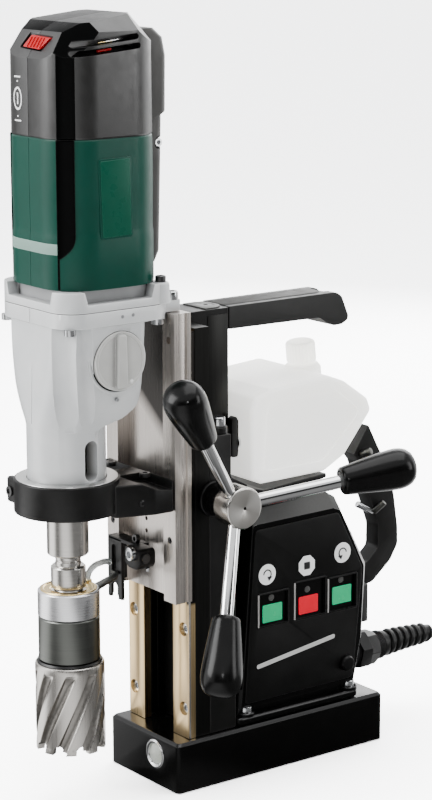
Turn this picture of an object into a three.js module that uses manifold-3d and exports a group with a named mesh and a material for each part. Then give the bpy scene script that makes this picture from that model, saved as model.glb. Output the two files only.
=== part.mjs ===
// Magnetic drill press: electromagnet base, guide column, rack-fed motor carriage,
// gearbox, spindle with annular cutter, control housing, coolant canister.
// Millimetres, +Z up. Origin: centre of the magnet's bottom face. The drill is at the
// front (-Y), the control panel faces +X.
import * as THREE from 'three';
import { mergeVertices } from 'three/addons/utils/BufferGeometryUtils.js';
import Module from 'manifold-3d';

const wasm = await Module();
wasm.setup();

// ---------- driving dimensions ----------
const GAP = 0.3;                                       // clearance between fitted parts
const BASE_HALF_W = 40, BASE_Y0 = -90, BASE_Y1 = 91, BASE_H = 35;
const SEAT_Z = BASE_H + GAP;                           // underside of all that stands on the base
const COLUMN_TOP = 322, WEB_HALF = 15, WEB_Y0 = -59, WEB_Y1 = -27.5;
const RAIL_OUT = 35;
const SPINDLE_Y = -149.5, NECK_R = 26;
const MOTOR_Y = -134, MOTOR_SIDE = 80, MOTOR_R = 27;
const SELECTOR_Z = 304.8;
const FEED_Y = -56, FEED_Z = 201;                      // pinion axis, parallel to X
const RACK_MODULE = 1.5, PINION_TEETH = 12;
const PINION_R = RACK_MODULE * PINION_TEETH / 2;       // pitch radius
const RACK_PITCH = Math.PI * RACK_MODULE;
const rad = THREE.MathUtils.degToRad;
const TOOTH_SLOPE = Math.tan(rad(25));                 // tangent of the tooth flank angle

// ---------- solid operations ----------
function solid(geometry) {
  const bare = geometry.clone();
  for (const key of Object.keys(bare.attributes)) if (key !== 'position') bare.deleteAttribute(key);
  const merged = mergeVertices(bare, 1e-4);
  return new wasm.Manifold(new wasm.Mesh({
    numProp: 3,
    vertProperties: new Float32Array(merged.attributes.position.array),
    triVerts: new Uint32Array(merged.index.array),
  }));
}

function fromSolid(manifold) {
  const mesh = manifold.getMesh();
  const geometry = new THREE.BufferGeometry();
  const positions = new Float32Array(mesh.vertProperties);
  geometry.setAttribute('position', new THREE.BufferAttribute(positions, 3));
  geometry.setIndex(new THREE.BufferAttribute(new Uint32Array(mesh.triVerts), 1));
  return geometry;
}

const combine = (operation) => (first, ...others) => fromSolid(
  others.reduce((result, other) => result[operation](solid(other)), solid(first)));
const cut = combine('subtract');
const join = combine('add');
const intersect = combine('intersect');

// ---------- shape helpers ----------
function box(xMin, xMax, yMin, yMax, zMin, zMax) {
  return new THREE.BoxGeometry(xMax - xMin, yMax - yMin, zMax - zMin)
    .translate((xMin + xMax) / 2, (yMin + yMax) / 2, (zMin + zMax) / 2);
}

// turns +Z into +X, +X into +Y and +Y into +Z
const Z_TO_X = new THREE.Matrix4().set(0, 0, 1, 0, 1, 0, 0, 0, 0, 1, 0, 0, 0, 0, 0, 1);
const alongX = (geometry) => geometry.applyMatrix4(Z_TO_X);

// Cylinder along an axis; (first, second) is its centre on the other two axes in xyz order.
function cyl(axis, first, second, radius, start, end, segments = 16, endRadius = radius) {
  const geometry = new THREE.CylinderGeometry(endRadius, radius, end - start, segments);
  geometry.translate(0, (start + end) / 2, 0);
  if (axis === 'z') return geometry.rotateX(Math.PI / 2).translate(first, second, 0);
  if (axis === 'y') return geometry.translate(first, 0, second);
  return geometry.rotateZ(-Math.PI / 2).translate(0, first, second);
}

// Extrusion of an outline: along 'z' it is in (x, y), along 'x' in (y, z).
// The bevel takes its size off both ends, inside the outline.
function prism(axis, outline, start, end, { holes = [], bevel = 0 } = {}) {
  const vectors = (points) => points.map((point) => new THREE.Vector2(...point));
  const shape = new THREE.Shape(vectors(outline));
  for (const hole of holes) shape.holes.push(new THREE.Path(vectors(hole)));
  const geometry = new THREE.ExtrudeGeometry(shape, {
    depth: end - start - 2 * bevel, bevelEnabled: bevel > 0,
    bevelThickness: bevel, bevelSize: bevel, bevelOffset: -bevel, bevelSegments: 1,
  });
  geometry.translate(0, 0, start + bevel);
  return axis === 'x' ? alongX(geometry) : geometry;
}

// Rounded rectangle, counter-clockwise, with separate front (-y) and rear (+y) corner radii.
function rrect(xMin, xMax, yMin, yMax, frontR, rearR = frontR, steps = 4) {
  const corners = [                                    // centre x, centre y, radius, start angle
    [xMax - frontR, yMin + frontR, frontR, -90], [xMax - rearR, yMax - rearR, rearR, 0],
    [xMin + rearR, yMax - rearR, rearR, 90], [xMin + frontR, yMin + frontR, frontR, 180]];
  return corners.flatMap(([x, y, radius, startAngle]) =>
    Array.from({ length: steps + 1 }, (_, i) => {
      const angle = rad(startAngle + 90 * i / steps);
      return [x + radius * Math.cos(angle), y + radius * Math.sin(angle)];
    }));
}

// rounded square centred on the motor axis
const motorSquare = (side, radius, steps = 5) => rrect(
  -side / 2, side / 2, MOTOR_Y - side / 2, MOTOR_Y + side / 2, radius, radius, steps);

// Closed loft through [z, outline] stations with equal point counts, ends capped.
function loft(stations) {
  const count = stations[0][1].length;
  const lastRing = (stations.length - 1) * count;
  const positions = stations.flatMap(([z, outline]) => outline.flatMap(([x, y]) => [x, y, z]));
  const indices = [];
  for (let ring = 0; ring < lastRing; ring += count) {
    for (let i = 0; i < count; i++) {
      const low = ring + i;
      const lowNext = ring + (i + 1) % count;
      indices.push(low, lowNext, lowNext + count, low, lowNext + count, low + count);
    }
  }
  const capTriangles = ([, outline]) => THREE.ShapeUtils.triangulateShape(
    outline.map((point) => new THREE.Vector2(...point)), []);
  for (const [i, j, k] of capTriangles(stations[0])) indices.push(i, k, j);
  for (const triangle of capTriangles(stations[stations.length - 1])) {
    indices.push(...triangle.map((i) => lastRing + i));
  }
  const geometry = new THREE.BufferGeometry();
  geometry.setAttribute('position', new THREE.BufferAttribute(new Float32Array(positions), 3));
  geometry.setIndex(indices);
  return geometry;
}

// Body of revolution about +Z; profile of [radius, z], closed on the axis or on itself.
function turned(profile, segments = 24) {
  const points = profile.map((point) => new THREE.Vector2(...point));
  return new THREE.LatheGeometry(points, segments).rotateX(Math.PI / 2);
}

// ---------- materials ----------
const finish = ({ color, roughness, metalness = 0 }) =>
  new THREE.MeshStandardMaterial({ color, roughness, metalness, flatShading: true });
const MATERIALS = {
  blackPaint: finish({ color: 0x191a1a, roughness: 0.3, metalness: 0.2 }),
  blackPlastic: finish({ color: 0x2b2b2a, roughness: 0.5 }),
  green: finish({ color: 0x0b5a48, roughness: 0.35 }),
  castGrey: finish({ color: 0xcfd2d2, roughness: 0.45, metalness: 0.3 }),
  steel: finish({ color: 0xb9b2ab, roughness: 0.3, metalness: 1 }),
  brass: finish({ color: 0xd9bd84, roughness: 0.3, metalness: 1 }),
  darkSteel: finish({ color: 0x4b4d4a, roughness: 0.4, metalness: 0.9 }),
  chrome: finish({ color: 0xe6e6e6, roughness: 0.08, metalness: 1 }),
  blackGloss: finish({ color: 0x0c0c0c, roughness: 0.12 }),
  tank: finish({ color: 0xf0f0ec, roughness: 0.45 }),
  red: finish({ color: 0xc8202e, roughness: 0.4 }),
  buttonGreen: finish({ color: 0x3fb886, roughness: 0.4 }),
  copper: finish({ color: 0xb06a3a, roughness: 0.4, metalness: 1 }),
  resin: finish({ color: 0x3a2f28, roughness: 0.6 }),
  lens: finish({ color: 0xe9ece0, roughness: 0.15 }),
  rubber: finish({ color: 0x1a1a1a, roughness: 0.7 }),
  circuitBoard: finish({ color: 0x1e6b3a, roughness: 0.5 }),
  aluminium: finish({ color: 0xc2c4c2, roughness: 0.35, metalness: 0.9 }),
  hose: finish({ color: 0xdfe6e2, roughness: 0.2 }),
  iron: finish({ color: 0x77777a, roughness: 0.5, metalness: 0.8 }),
};

// ---------- groups ----------
const machine = new THREE.Group();
const [carriage, spindle, armature, selector, motorSwitch, feed, panel, root] =
  Array.from({ length: 8 }, () => new THREE.Group());
machine.add(carriage, spindle, armature, selector, motorSwitch, feed, panel, root);

function put(group, name, material, geometry, position = [0, 0, 0]) {
  const facets = geometry.index ? geometry.toNonIndexed() : geometry;
  facets.deleteAttribute('normal');
  facets.deleteAttribute('uv');
  facets.computeVertexNormals();
  const mesh = new THREE.Mesh(facets, MATERIALS[material]);
  mesh.name = name;
  mesh.position.set(...position);
  group.add(mesh);
}

// ================= base and electromagnet =================
function addMagnet() {
  const EDGE_BEVEL = 1.8, GROOVE_INSET = 13, ISLAND_INSET = 26, GROOVE_TOP = 21;
  const INDICATOR_X = 13.4, INDICATOR_Y = -84.2, INDICATOR_Z = 21.4;
  const outline = (inset, radius) => rrect(-BASE_HALF_W + inset, BASE_HALF_W - inset,
    BASE_Y0 + inset, BASE_Y1 - inset, radius, radius, 3);
  // closed ring in the coil groove, standing off its walls by a clearance
  const grooveRing = (clearance, bottom, top) => prism(
    'z', outline(GROOVE_INSET + clearance, 9 - clearance), bottom, top,
    { holes: [outline(ISLAND_INSET - clearance, 4 + clearance)] });

  const block = loft([[0, outline(0, 3)], [BASE_H - EDGE_BEVEL, outline(0, 3)],
    [BASE_H, outline(EDGE_BEVEL, 2.6)]]);
  const recess = cyl('y', INDICATOR_X, INDICATOR_Z, 10.4, BASE_Y0 - 1, BASE_Y0 + 6, 28);
  put(root, 'magnet_base', 'blackPaint', cut(block, grooveRing(0, -1, GROOVE_TOP), recess));
  put(root, 'magnet_coil', 'copper', grooveRing(0.6, 6, GROOVE_TOP - 0.6));
  put(root, 'coil_potting', 'resin', grooveRing(GAP, 0.3, 5.7));

  // round indicator in the front end of the magnet
  const bezelProfile = [
    [7.4, 0], [10.1, 0], [10.1, 5.4], [9.4, 6.2], [7.4, 6.2], [7.4, 0]];
  const lensProfile = [[0, 0], [7.1, 0], [7.1, 4.6], [5, 5.8], [0, 6.2]];
  for (const [name, material, profile] of [
    ['indicator_bezel', 'chrome', bezelProfile], ['indicator_lens', 'lens', lensProfile]]) {
    put(root, name, material, turned(profile, 28).rotateX(Math.PI / 2),
      [INDICATOR_X, INDICATOR_Y, INDICATOR_Z]);
  }
}

// ================= column =================
const BUSH_BORE = cyl('x', FEED_Y, FEED_Z, 10.3, 22.3, 40, 24);

function addColumnFrame() {
  const SHOULDER_Z = 189.2, POCKET_HALF = 8.4, POCKET_R = 11;
  const frameSide = [                                  // y, z
    [WEB_Y0, SEAT_Z], [-37, SEAT_Z], [-37, 188.5], [-27.3, SHOULDER_Z],
    [-27.3, 205.8], [-41, 213], [-41, 243], [WEB_Y0, 243]];
  const lower = prism('x', frameSide, -RAIL_OUT, RAIL_OUT);
  const web = box(-WEB_HALF, WEB_HALF, WEB_Y0, WEB_Y1, SHOULDER_Z, COLUMN_TOP);
  const pinionPocket = join(
    box(-POCKET_HALF, POCKET_HALF, -70, FEED_Y, FEED_Z - POCKET_R, FEED_Z + POCKET_R),
    cyl('x', FEED_Y, FEED_Z, POCKET_R, -POCKET_HALF, POCKET_HALF, 28));
  const frontGroove = box(-POCKET_HALF, POCKET_HALF, -60, -56.5, BASE_H + 1, COLUMN_TOP - 4);
  const shaftBore = cyl('x', FEED_Y, FEED_Z, 7.4, -15.5, 30, 24);
  put(root, 'column_frame', 'blackPlastic',
    cut(join(lower, web), pinionPocket, frontGroove, shaftBore, BUSH_BORE));
}

// L-section rails with a drilled strip in front of each
function addGuides() {
  const RAIL_IN = 17.3, RAIL_TOP = 318, RAIL_FRONT = -71;
  const STRIP_IN = 17, STRIP_Y0 = -77, STRIP_Y1 = -71.3;
  const HOLE_X = 29.2, HOLE_R = 4.7, FIRST_HOLE_Z = 55.6, HOLE_PITCH = 56.2;
  const railSection = [                                // distance from the centre plane, y
    [RAIL_IN, WEB_Y0 - GAP], [RAIL_IN, -65.6], [24, -65.6], [24, RAIL_FRONT],
    [RAIL_OUT, RAIL_FRONT], [RAIL_OUT, WEB_Y0 - GAP]];
  for (const [side, name] of [[-1, 'left'], [1, 'right']]) {
    const rail = prism('z', railSection.map(([x, y]) => [side * x, y]), SEAT_Z, RAIL_TOP);
    // the pinion shaft passes through the +X rail only
    const drilled = () => cut(rail, cyl('x', FEED_Y, FEED_Z, 7.8, 10, 40, 24), BUSH_BORE);
    put(root, `guide_rail_${name}`, 'darkSteel', side > 0 ? drilled() : rail);

    const [xMin, xMax] = side > 0 ? [STRIP_IN, RAIL_OUT] : [-RAIL_OUT, -STRIP_IN];
    const strip = box(xMin, xMax, STRIP_Y0, STRIP_Y1, SEAT_Z, RAIL_TOP - 2);
    const holes = Array.from({ length: 5 }, (_, i) => cyl('y', side * HOLE_X,
      FIRST_HOLE_Z + i * HOLE_PITCH, HOLE_R, STRIP_Y0 - 1, STRIP_Y0 + 4.2, 18));
    put(root, `gib_strip_${name}`, 'brass', cut(strip, ...holes));
  }
}

function addColumnFittings() {
  const bushProfile = [
    [7.2, 0], [10, 0], [10, 12.7], [12, 12.7], [12, 15.2], [7.2, 15.2], [7.2, 0]];
  put(root, 'feed_bush', 'brass', alongX(turned(bushProfile)), [22.6, FEED_Y, FEED_Z]);

  // plate on the column top with a countersunk hole
  const PLATE_TOP = 325.3, SCREW_Y = -36, SCREW_R = 2.8;
  const plate = prism('z', rrect(-WEB_HALF, WEB_HALF, -47, -27.8, 1.5, 1.5, 2),
    COLUMN_TOP + GAP, PLATE_TOP);
  put(root, 'top_plate', 'castGrey', cut(plate,
    cyl('z', 0, SCREW_Y, SCREW_R, 310, 330, 16),
    cyl('z', 0, SCREW_Y, SCREW_R, PLATE_TOP - 2.1, PLATE_TOP + 0.1, 16, 5.2)));

  const handleSide = [                                 // y, z
    [-27.2, 325], [66, 325], [71, 321.5], [77, 307.5], [76.4, 304.5],
    [71, 301.8], [64, 301.6], [57, 304.6], [51, 308.6], [-27.2, 309.4]];
  put(root, 'carry_handle', 'blackPlastic',
    prism('x', handleSide, -WEB_HALF, WEB_HALF, { bevel: 2.5 }));
}

// ================= control housing =================
function addControlHousing() {
  const FOOT_Y0 = -36.4, FOOT_Y1 = 71, MIDDLE_HALF = 28.5, BODY_HALF = 33.4;
  // outlines in (y, z): full section in the middle, smaller at the two side faces
  const middle = [
    [FOOT_Y1, SEAT_Z], [80, 75], [83, 130], [54, 183.5],
    [46.5, 187.8], [-19, 185.2], [-34, 60], [FOOT_Y0, SEAT_Z]];
  const sideFace = [
    [68.8, 46], [75.5, 78], [78, 130], [56, 174],
    [50, 176.5], [-21.5, 175.5], [-30, 60], [-31.5, 46]];
  const cavitySide = [[-27.5, 52], [-20, 171], [49, 171], [71.5, 129], [64, 52]];
  const body = alongX(loft([[-BODY_HALF, sideFace], [-MIDDLE_HALF, middle],
    [MIDDLE_HALF, middle], [BODY_HALF, sideFace]]));
  const foot = box(-37, 37, FOOT_Y0, FOOT_Y1, SEAT_Z, 43);
  put(root, 'control_housing', 'blackPaint',
    cut(join(body, foot), prism('x', cavitySide, -28, 40)));
}

function addControlPanel() {
  const PANEL_X = 35, PANEL_THICKNESS = 1.3, FRAME_X0 = 29, FRAME_Y1 = 66;
  const panelSide = [[-29, 49.5], [67.5, 50], [75.4, 129.7], [53, 173], [-20, 172]]; // y, z
  const windows = [                                    // y from, y to, z from, z to
    [-18, 9, 101.8, 127], [13.6, 42, 101.5, 130], [43.7, 70, 101.2, 127.6]];
  const buttons = [                                    // name, material, centre [y, z]
    ['button_right', 'buttonGreen', [-4.6, 110.9]],
    ['button_stop', 'red', [27.2, 111]],
    ['button_left', 'buttonGreen', [57.4, 112.6]]];
  const centredBlock = (xMin, xMax, [y, z], halfY, halfZ) =>
    box(xMin, xMax, y - halfY, y + halfY, z - halfZ, z + halfZ);

  put(root, 'control_panel', 'blackPaint', cut(
    prism('x', panelSide, PANEL_X - PANEL_THICKNESS, PANEL_X),
    ...windows.map((window) => box(30, 40, ...window))));

  // tray with window recesses, and a square rim around each button
  const tray = cut(box(FRAME_X0, 33.4, -22.4, 67.8, 98, 131.5), ...windows.map(
    ([yMin, yMax, zMin, zMax]) => box(31.2, 40, yMin, Math.min(yMax, FRAME_Y1), zMin, zMax)));
  const rims = buttons.map(([, , centre]) => centredBlock(FRAME_X0, 32.8, centre, 9.9, 7.8));
  const openings = buttons.map(([, , centre]) => centredBlock(20, 40, centre, 8.8, 6.7));
  put(root, 'button_frame', 'rubber', cut(join(tray, ...rims), ...openings));

  put(root, 'circuit_board', 'circuitBoard', join(
    box(-20, -18, -14, 47, 60, 165), box(-18, -4, 24, 44, 70, 100),
    cyl('x', 5, 150, 9, -18.5, 8, 16), box(-18, -6, -8, 18, 68, 84)));

  for (const [name, material, centre] of buttons) {
    put(panel, name, material, join(
      centredBlock(29.4, 33.8, centre, 8.5, 6.35), centredBlock(22, 30, centre, 5, 4)));
  }
}

// ================= rear: magnet switch, cable, bow bar =================
function addRearFittings() {
  // rocker switch on the rear of the housing
  put(root, 'switch_body', 'blackPlastic',
    cut(box(8.6, 28.4, 83.3, 92, 84, 116), box(11.5, 25.5, 86, 93, 87.5, 112.5)));
  const rockerSide = [                                 // y, z
    [87, 100], [89, 90.5], [95.6, 89.5], [93.4, 100], [95.6, 110.5], [89, 109.5]];
  put(panel, 'magnet_rocker', 'red', prism('x', rockerSide, 12, 25));

  // cable gland, kink guard and cable
  const CABLE_X = 15, CABLE_Z = 61;
  const alongCable = (...sizes) => cyl('y', CABLE_X, CABLE_Z, ...sizes);
  const gland = join(alongCable(11, 80.2, 84, 20), alongCable(14.5, 83, 92, 6),
    alongCable(13, 92, 101, 6), alongCable(10.5, 100.5, 108, 20));
  put(root, 'cable_gland', 'rubber', cut(gland, alongCable(6.6, 76, 110, 20)));
  const guardProfile = [
    [4.4, 0], [9.6, 0], [9.6, 5], [8.6, 6], [8.2, 18],
    [7.6, 30], [6.8, 42], [4.4, 42], [4.4, 0]];
  put(root, 'kink_guard', 'rubber', turned(guardProfile, 16).rotateX(-Math.PI / 2),
    [CABLE_X, 108.3, CABLE_Z]);
  put(root, 'mains_cable', 'rubber', alongCable(4.1, 88, 158, 16));

  const bowSide = [                                    // y, z
    [84.3, 118.4], [104, 122.5], [113.5, 131], [113.7, 147.4], [104.9, 170.7],
    [94.9, 197.7], [89.6, 204.1], [103, 224.2], [115.9, 200.2], [127.9, 169.9],
    [132, 144.3], [132.3, 130.8], [125.2, 119.6], [108.2, 106], [84.3, 104]];
  put(root, 'rear_bow', 'blackPlastic', prism('x', bowSide, -7, 7));
}

// ================= coolant canister =================
function addCoolantTank() {
  const cradleSide = [                                 // y, z
    [-26.9, 203.6], [-12, 199.4], [26, 202.4], [40, 203.4], [40, 200.4],
    [29.4, 198], [22, 195.4], [-12, 192.6], [-26.9, 196]];
  put(root, 'tank_cradle', 'blackPlastic',
    join(prism('x', cradleSide, -34.6, 34.6), box(-12, 12, 4, 16, 188.2, 196)));

  const TANK_X0 = -46, TANK_X1 = 33, WALL = 3;
  const CENTRE_Y = 31, CENTRE_Z = 238;                 // the cavity outline shrinks towards here
  const NECK_X = -4, NECK_Y = 51, NECK_Z = 268.5, NECK_TILT = rad(6);
  const tankSide = [                                   // y, z
    [-22, 214], [-11.5, 203.3], [20, 203.4], [42, 204.4], [60, 213.1], [80, 235], [84, 242],
    [81, 250], [58, 265.5], [44, 271], [30, 271.4], [-16, 264.8], [-22.5, 256]];
  const cavitySide = tankSide.map(([y, z]) =>
    [CENTRE_Y + (y - CENTRE_Y) * 0.93, CENTRE_Z + (z - CENTRE_Z) * 0.91]);
  const onNeck = (geometry, z = NECK_Z) =>
    geometry.rotateX(NECK_TILT).translate(NECK_X, NECK_Y, z);
  const collar = onNeck(turned([[0, 0], [15, 0], [15, 7], [0, 7]]), 265);
  const neck = onNeck(turned([[0, 0], [9.2, 0], [9.2, 15], [0, 15]]));
  const mouth = onNeck(cyl('z', 0, 0, 6.8, -28.5, 31.5, 20));
  put(root, 'coolant_tank', 'tank', cut(
    join(prism('x', tankSide, TANK_X0, TANK_X1, { bevel: 4 }), collar, neck),
    prism('x', cavitySide, TANK_X0 + WALL, TANK_X1 - WALL, { bevel: 2 }), mouth));

  const capProfile = [
    [9.5, 0], [12, 0], [12, 13.5], [10.6, 15.5], [0, 15.5], [0, 13.4], [9.5, 13.4], [9.5, 0]];
  put(panel, 'tank_cap', 'tank', turned(capProfile).translate(0, 0, 4.6).rotateX(NECK_TILT),
    [NECK_X, NECK_Y, NECK_Z]);
}

// ================= carriage: slide and rack =================
const SLIDE_HALF = 40, SLIDE_Y0 = -90.8;

function addSlide() {
  const SLIDE_Z0 = 134, SLIDE_Z1 = 330, SLIDE_Y1 = -77.3;
  const CHANNEL_HALF = 26.5, CHANNEL_Y = -82, RIB_HALF = 16.5, RIB_Y = -70.7, KEEPER_Y = -68;
  const slideSection = [                               // x, y
    [-SLIDE_HALF, SLIDE_Y0], [-CHANNEL_HALF, SLIDE_Y0], [-CHANNEL_HALF, CHANNEL_Y],
    [CHANNEL_HALF, CHANNEL_Y], [CHANNEL_HALF, SLIDE_Y0], [SLIDE_HALF, SLIDE_Y0],
    [SLIDE_HALF, SLIDE_Y1], [RIB_HALF, SLIDE_Y1], [RIB_HALF, RIB_Y],
    [-RIB_HALF, RIB_Y], [-RIB_HALF, SLIDE_Y1], [-SLIDE_HALF, SLIDE_Y1]];
  const sideGrooves = [-SLIDE_HALF, SLIDE_HALF].map((x) =>
    box(x - 1, x + 1, -82.6, -80.8, 100, 400));
  put(carriage, 'slide_plate', 'steel',
    cut(prism('z', slideSection, SLIDE_Z0, SLIDE_Z1), ...sideGrooves));
  put(carriage, 'slide_keeper', 'darkSteel', box(-23.6, 23.6, RIB_Y, KEEPER_Y, SLIDE_Z0, 312));

  // rack on the keeper, teeth towards the column
  const RACK_Z0 = 135, RACK_Z1 = 310, RACK_TEETH = 35;
  const pitchY = FEED_Y - PINION_R;
  const tipY = pitchY + 1.1;
  const rootY = pitchY - 1.7;
  const halfTooth = (y) => RACK_PITCH / 4 - 0.18 - (y - pitchY) * TOOTH_SLOPE;
  const rackSide = [[KEEPER_Y, RACK_Z0], [rootY, RACK_Z0]];
  for (let i = 0; i < RACK_TEETH; i++) {
    const z = FEED_Z + (i - 12.5) * RACK_PITCH;
    rackSide.push([rootY, z - halfTooth(rootY)], [tipY, z - halfTooth(tipY)],
      [tipY, z + halfTooth(tipY)], [rootY, z + halfTooth(rootY)]);
  }
  rackSide.push([rootY, RACK_Z1], [KEEPER_Y, RACK_Z1]);
  put(carriage, 'gear_rack', 'iron', prism('x', rackSide, -7.5, 7.5));
}

// ================= carriage: holder and gearbox =================
// split clamp collar around the gearbox neck, with an arm back to the slide
function addMotorHolder() {
  const COLLAR_R = 35, COLLAR_Z0 = 200.7, COLLAR_Z1 = 223.5, CHAMFER = 1.2;
  const ARM_Y1 = SLIDE_Y0 - GAP;
  const boreR = NECK_R + GAP;
  const collar = turned([
    [boreR, COLLAR_Z0], [COLLAR_R - CHAMFER, COLLAR_Z0], [COLLAR_R, COLLAR_Z0 + CHAMFER],
    [COLLAR_R, COLLAR_Z1 - CHAMFER], [COLLAR_R - CHAMFER, COLLAR_Z1],
    [boreR, COLLAR_Z1], [boreR, COLLAR_Z0]], 32).translate(0, SPINDLE_Y, 0);
  const neckClearance = (radius) => cyl('z', 0, SPINDLE_Y, radius, 190, 230, 32);
  const armOutline = [                                 // x, y
    [-30, -132], [30, -132], [38, -104], [38, ARM_Y1], [-38, ARM_Y1], [-38, -104]];
  const arm = cut(prism('z', armOutline, 198, 221), neckClearance(NECK_R + 2));
  const lug = cut(box(-30, -17, -183.8, -166, COLLAR_Z0 + 2, COLLAR_Z1 - 2),
    neckClearance(NECK_R + 3));
  const slit = box(-40, -22, -174.6, -172.4, 190, 230);
  put(carriage, 'motor_holder', 'blackPlastic', cut(join(collar, arm, lug), slit));
}

function addGearbox() {
  // Station at z, blended from the lower section (blend 0) to the upper one (blend 1).
  // Sections: half width, front y, rear y, front corner radius, rear corner radius.
  const sectionBlend = (lower, upper) => (z, blend) => {
    const [halfW, frontY, rearY, frontR, rearR] =
      lower.map((value, i) => value + (upper[i] - value) * blend);
    return [z, rrect(-halfW, halfW, frontY, rearY, frontR, rearR, 5)];
  };
  const outer = sectionBlend([29, -177, -96, 28, 12], [42, -176, -92, 17, 17]);
  const inner = sectionBlend([24, -172, -101, 22, 8], [37.5, -171.5, -96.5, 13, 13]);
  const shell = loft([
    outer(262, 0), outer(285, 0.38), outer(318, 0.9), outer(326, 1), outer(338, 1)]);
  const belly = loft([
    [252, rrect(-24, 24, SPINDLE_Y - 25, -104, 24, 10, 5)], outer(262.01, 0)]);

  // what is cut from the rear of the shell, and what is kept out of the cavity to leave a wall
  const rearCutSide = [                                // y, z
    [-124, 240], [-60, 240], [-60, 284], [-111.6, 284], [-113.9, 274], [-124, 264.5]];
  const rearWallSide = [                               // y, z
    [-132, 240], [-60, 240], [-60, 290], [-115.6, 290],
    [-118.5, 279], [-128, 269], [-132, 269]];
  const rearCut = join(box(-60, 60, -111.5, -60, 240, 326), prism('x', rearCutSide, -60, 60));
  const rearWall = join(box(-60, 60, -115.5, -60, 240, 329), prism('x', rearWallSide, -60, 60));
  const cavity = cut(loft([inner(268, 0.1), inner(318, 0.9), inner(340, 1)]), rearWall);

  const neck = cyl('z', 0, SPINDLE_Y, NECK_R, 202, 264, 32);
  const rearLedge = box(-32, 32, -93, -79, 330.4, 338);
  const dialAxis = (...sizes) => cyl('x', MOTOR_Y, SELECTOR_Z, ...sizes);
  const spindleBore = cyl('z', 0, SPINDLE_Y, 14.4, 195, 280, 28);
  const neckSlot = prism('x', rrect(SPINDLE_Y + 4, SPINDLE_Y + 14, 226, 250, 4.9), 5, 60);
  put(carriage, 'gearbox_housing', 'castGrey', cut(
    join(cut(join(shell, belly), rearCut), neck, rearLedge, dialAxis(21.6, 20, 38, 36)),
    cavity, spindleBore, neckSlot, dialAxis(5.3, 10, 50, 16), dialAxis(19.8, 38, 50, 36)));
}

// ================= carriage: motor =================
function addMotorShells() {
  const FLANGE_Z0 = 338.3, GREEN_Z0 = 352, GREEN_Z1 = 447, CAP_TOP = 525, WALL = 3;
  const innerSquare = motorSquare(MOTOR_SIDE - 2 * WALL, MOTOR_R - WALL);

  // flange between gearbox and motor, with a window in each side
  put(carriage, 'motor_flange', 'castGrey', cut(
    prism('z', motorSquare(84, 17), FLANGE_Z0, GREEN_Z0 - GAP, { holes: [motorSquare(66, 12)] }),
    box(-60, 60, MOTOR_Y - 24, MOTOR_Y + 24, 343.2, 353),
    box(-24, 24, -220, -60, 343.2, 353)));

  put(carriage, 'motor_housing', 'green',
    prism('z', motorSquare(MOTOR_SIDE, MOTOR_R), GREEN_Z0, GREEN_Z1, { holes: [innerSquare] }));

  const capOuter = loft([
    [GREEN_Z1 + GAP, motorSquare(MOTOR_SIDE, MOTOR_R)],
    [498, motorSquare(MOTOR_SIDE - 0.6, MOTOR_R)],
    [517, rrect(-38, 38, -164, -96, 22, 26, 5)],
    [CAP_TOP, rrect(-28, 28, -156, -106, 12, 16, 5)]]);
  const capInner = loft([
    [GREEN_Z1 - 1, innerSquare],
    [497, motorSquare(MOTOR_SIDE - 7, MOTOR_R - WALL)],
    [520, rrect(-26, 26, -156, -106, 12, 16, 5)]]);
  const vents = [508.5, 499.5].flatMap((z) => [[30, 60], [-60, -30]].map(
    ([xMin, xMax]) => box(xMin, xMax, -160, -112, z - 1.9, z + 1.9)));
  const switchOpening = box(-14.6, 14.6, -180, -150, 500.6, 511.4);
  put(carriage, 'motor_cap', 'blackPlastic', cut(capOuter, capInner, ...vents, switchOpening));

  // spine up the rear of the motor, hollowed to fit around it
  const aroundMotor = motorSquare(MOTOR_SIDE + 2 * GAP, MOTOR_R + GAP);
  put(carriage, 'rear_spine', 'blackPlastic', cut(
    loft([
      [360, rrect(-12, 12, -100, -82, 4, 6, 3)], [380, rrect(-15, 15, -100, -79, 4, 8, 3)],
      [500, rrect(-17, 17, -100, -77, 4, 8, 3)], [517, rrect(-12, 12, -100, -84, 4, 6, 3)]]),
    loft([
      [340, aroundMotor], [500, aroundMotor], [530, rrect(-40, 40, -164, -95, 22, 20, 5)]])));

  const statorBore = rrect(-26, 26, MOTOR_Y - 26, MOTOR_Y + 26, 25.9, 25.9, 6);
  put(carriage, 'stator', 'iron',
    prism('z', motorSquare(72, 22, 4), 372, 430, { holes: [statorBore] }));
}

// ================= carriage: coolant feed =================
function addCoolantFeed() {
  const INLET_Z = 138, HOSE_R = 2.6;
  const ringProfile = [
    [9.4, 129.4], [20.7, 129.4], [20.7, 146], [19.7, 147.2], [12.9, 147.2],
    [12.9, 145.9], [9.4, 145.9], [9.4, 129.4]];
  put(carriage, 'coolant_ring', 'aluminium', cut(
    turned(ringProfile, 28).translate(0, SPINDLE_Y, 0),
    cyl('y', 0, INLET_Z, 2.2, -140, -120, 12)));
  put(carriage, 'coolant_bracket', 'blackPlastic', join(
    box(-16.4, -13.4, -128, -94, 133, 142), box(-38, -13.4, -94.2, -91.2, 133, 196),
    box(-16.4, -2, -106, -91.2, 153, 167)));

  const hosePath = [                                   // x, y, z
    [0, -128.5, INLET_Z], [0, -124, INLET_Z], [-1, -117, 141], [-6, -113, 150],
    [-9, -109, 157.5]];
  const circle = new THREE.Shape();
  circle.absarc(0, 0, HOSE_R, 0, Math.PI * 2);
  put(carriage, 'coolant_hose', 'hose', new THREE.ExtrudeGeometry(circle, {
    steps: 8, bevelEnabled: false, curveSegments: 4,
    extrudePath: new THREE.CatmullRomCurve3(hosePath.map((point) => new THREE.Vector3(...point))),
  }));
}

// ================= spindle train =================
const onSpindle = [0, SPINDLE_Y, 0];
const polar = (radius, angle) => [radius * Math.cos(angle), radius * Math.sin(angle)];

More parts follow.
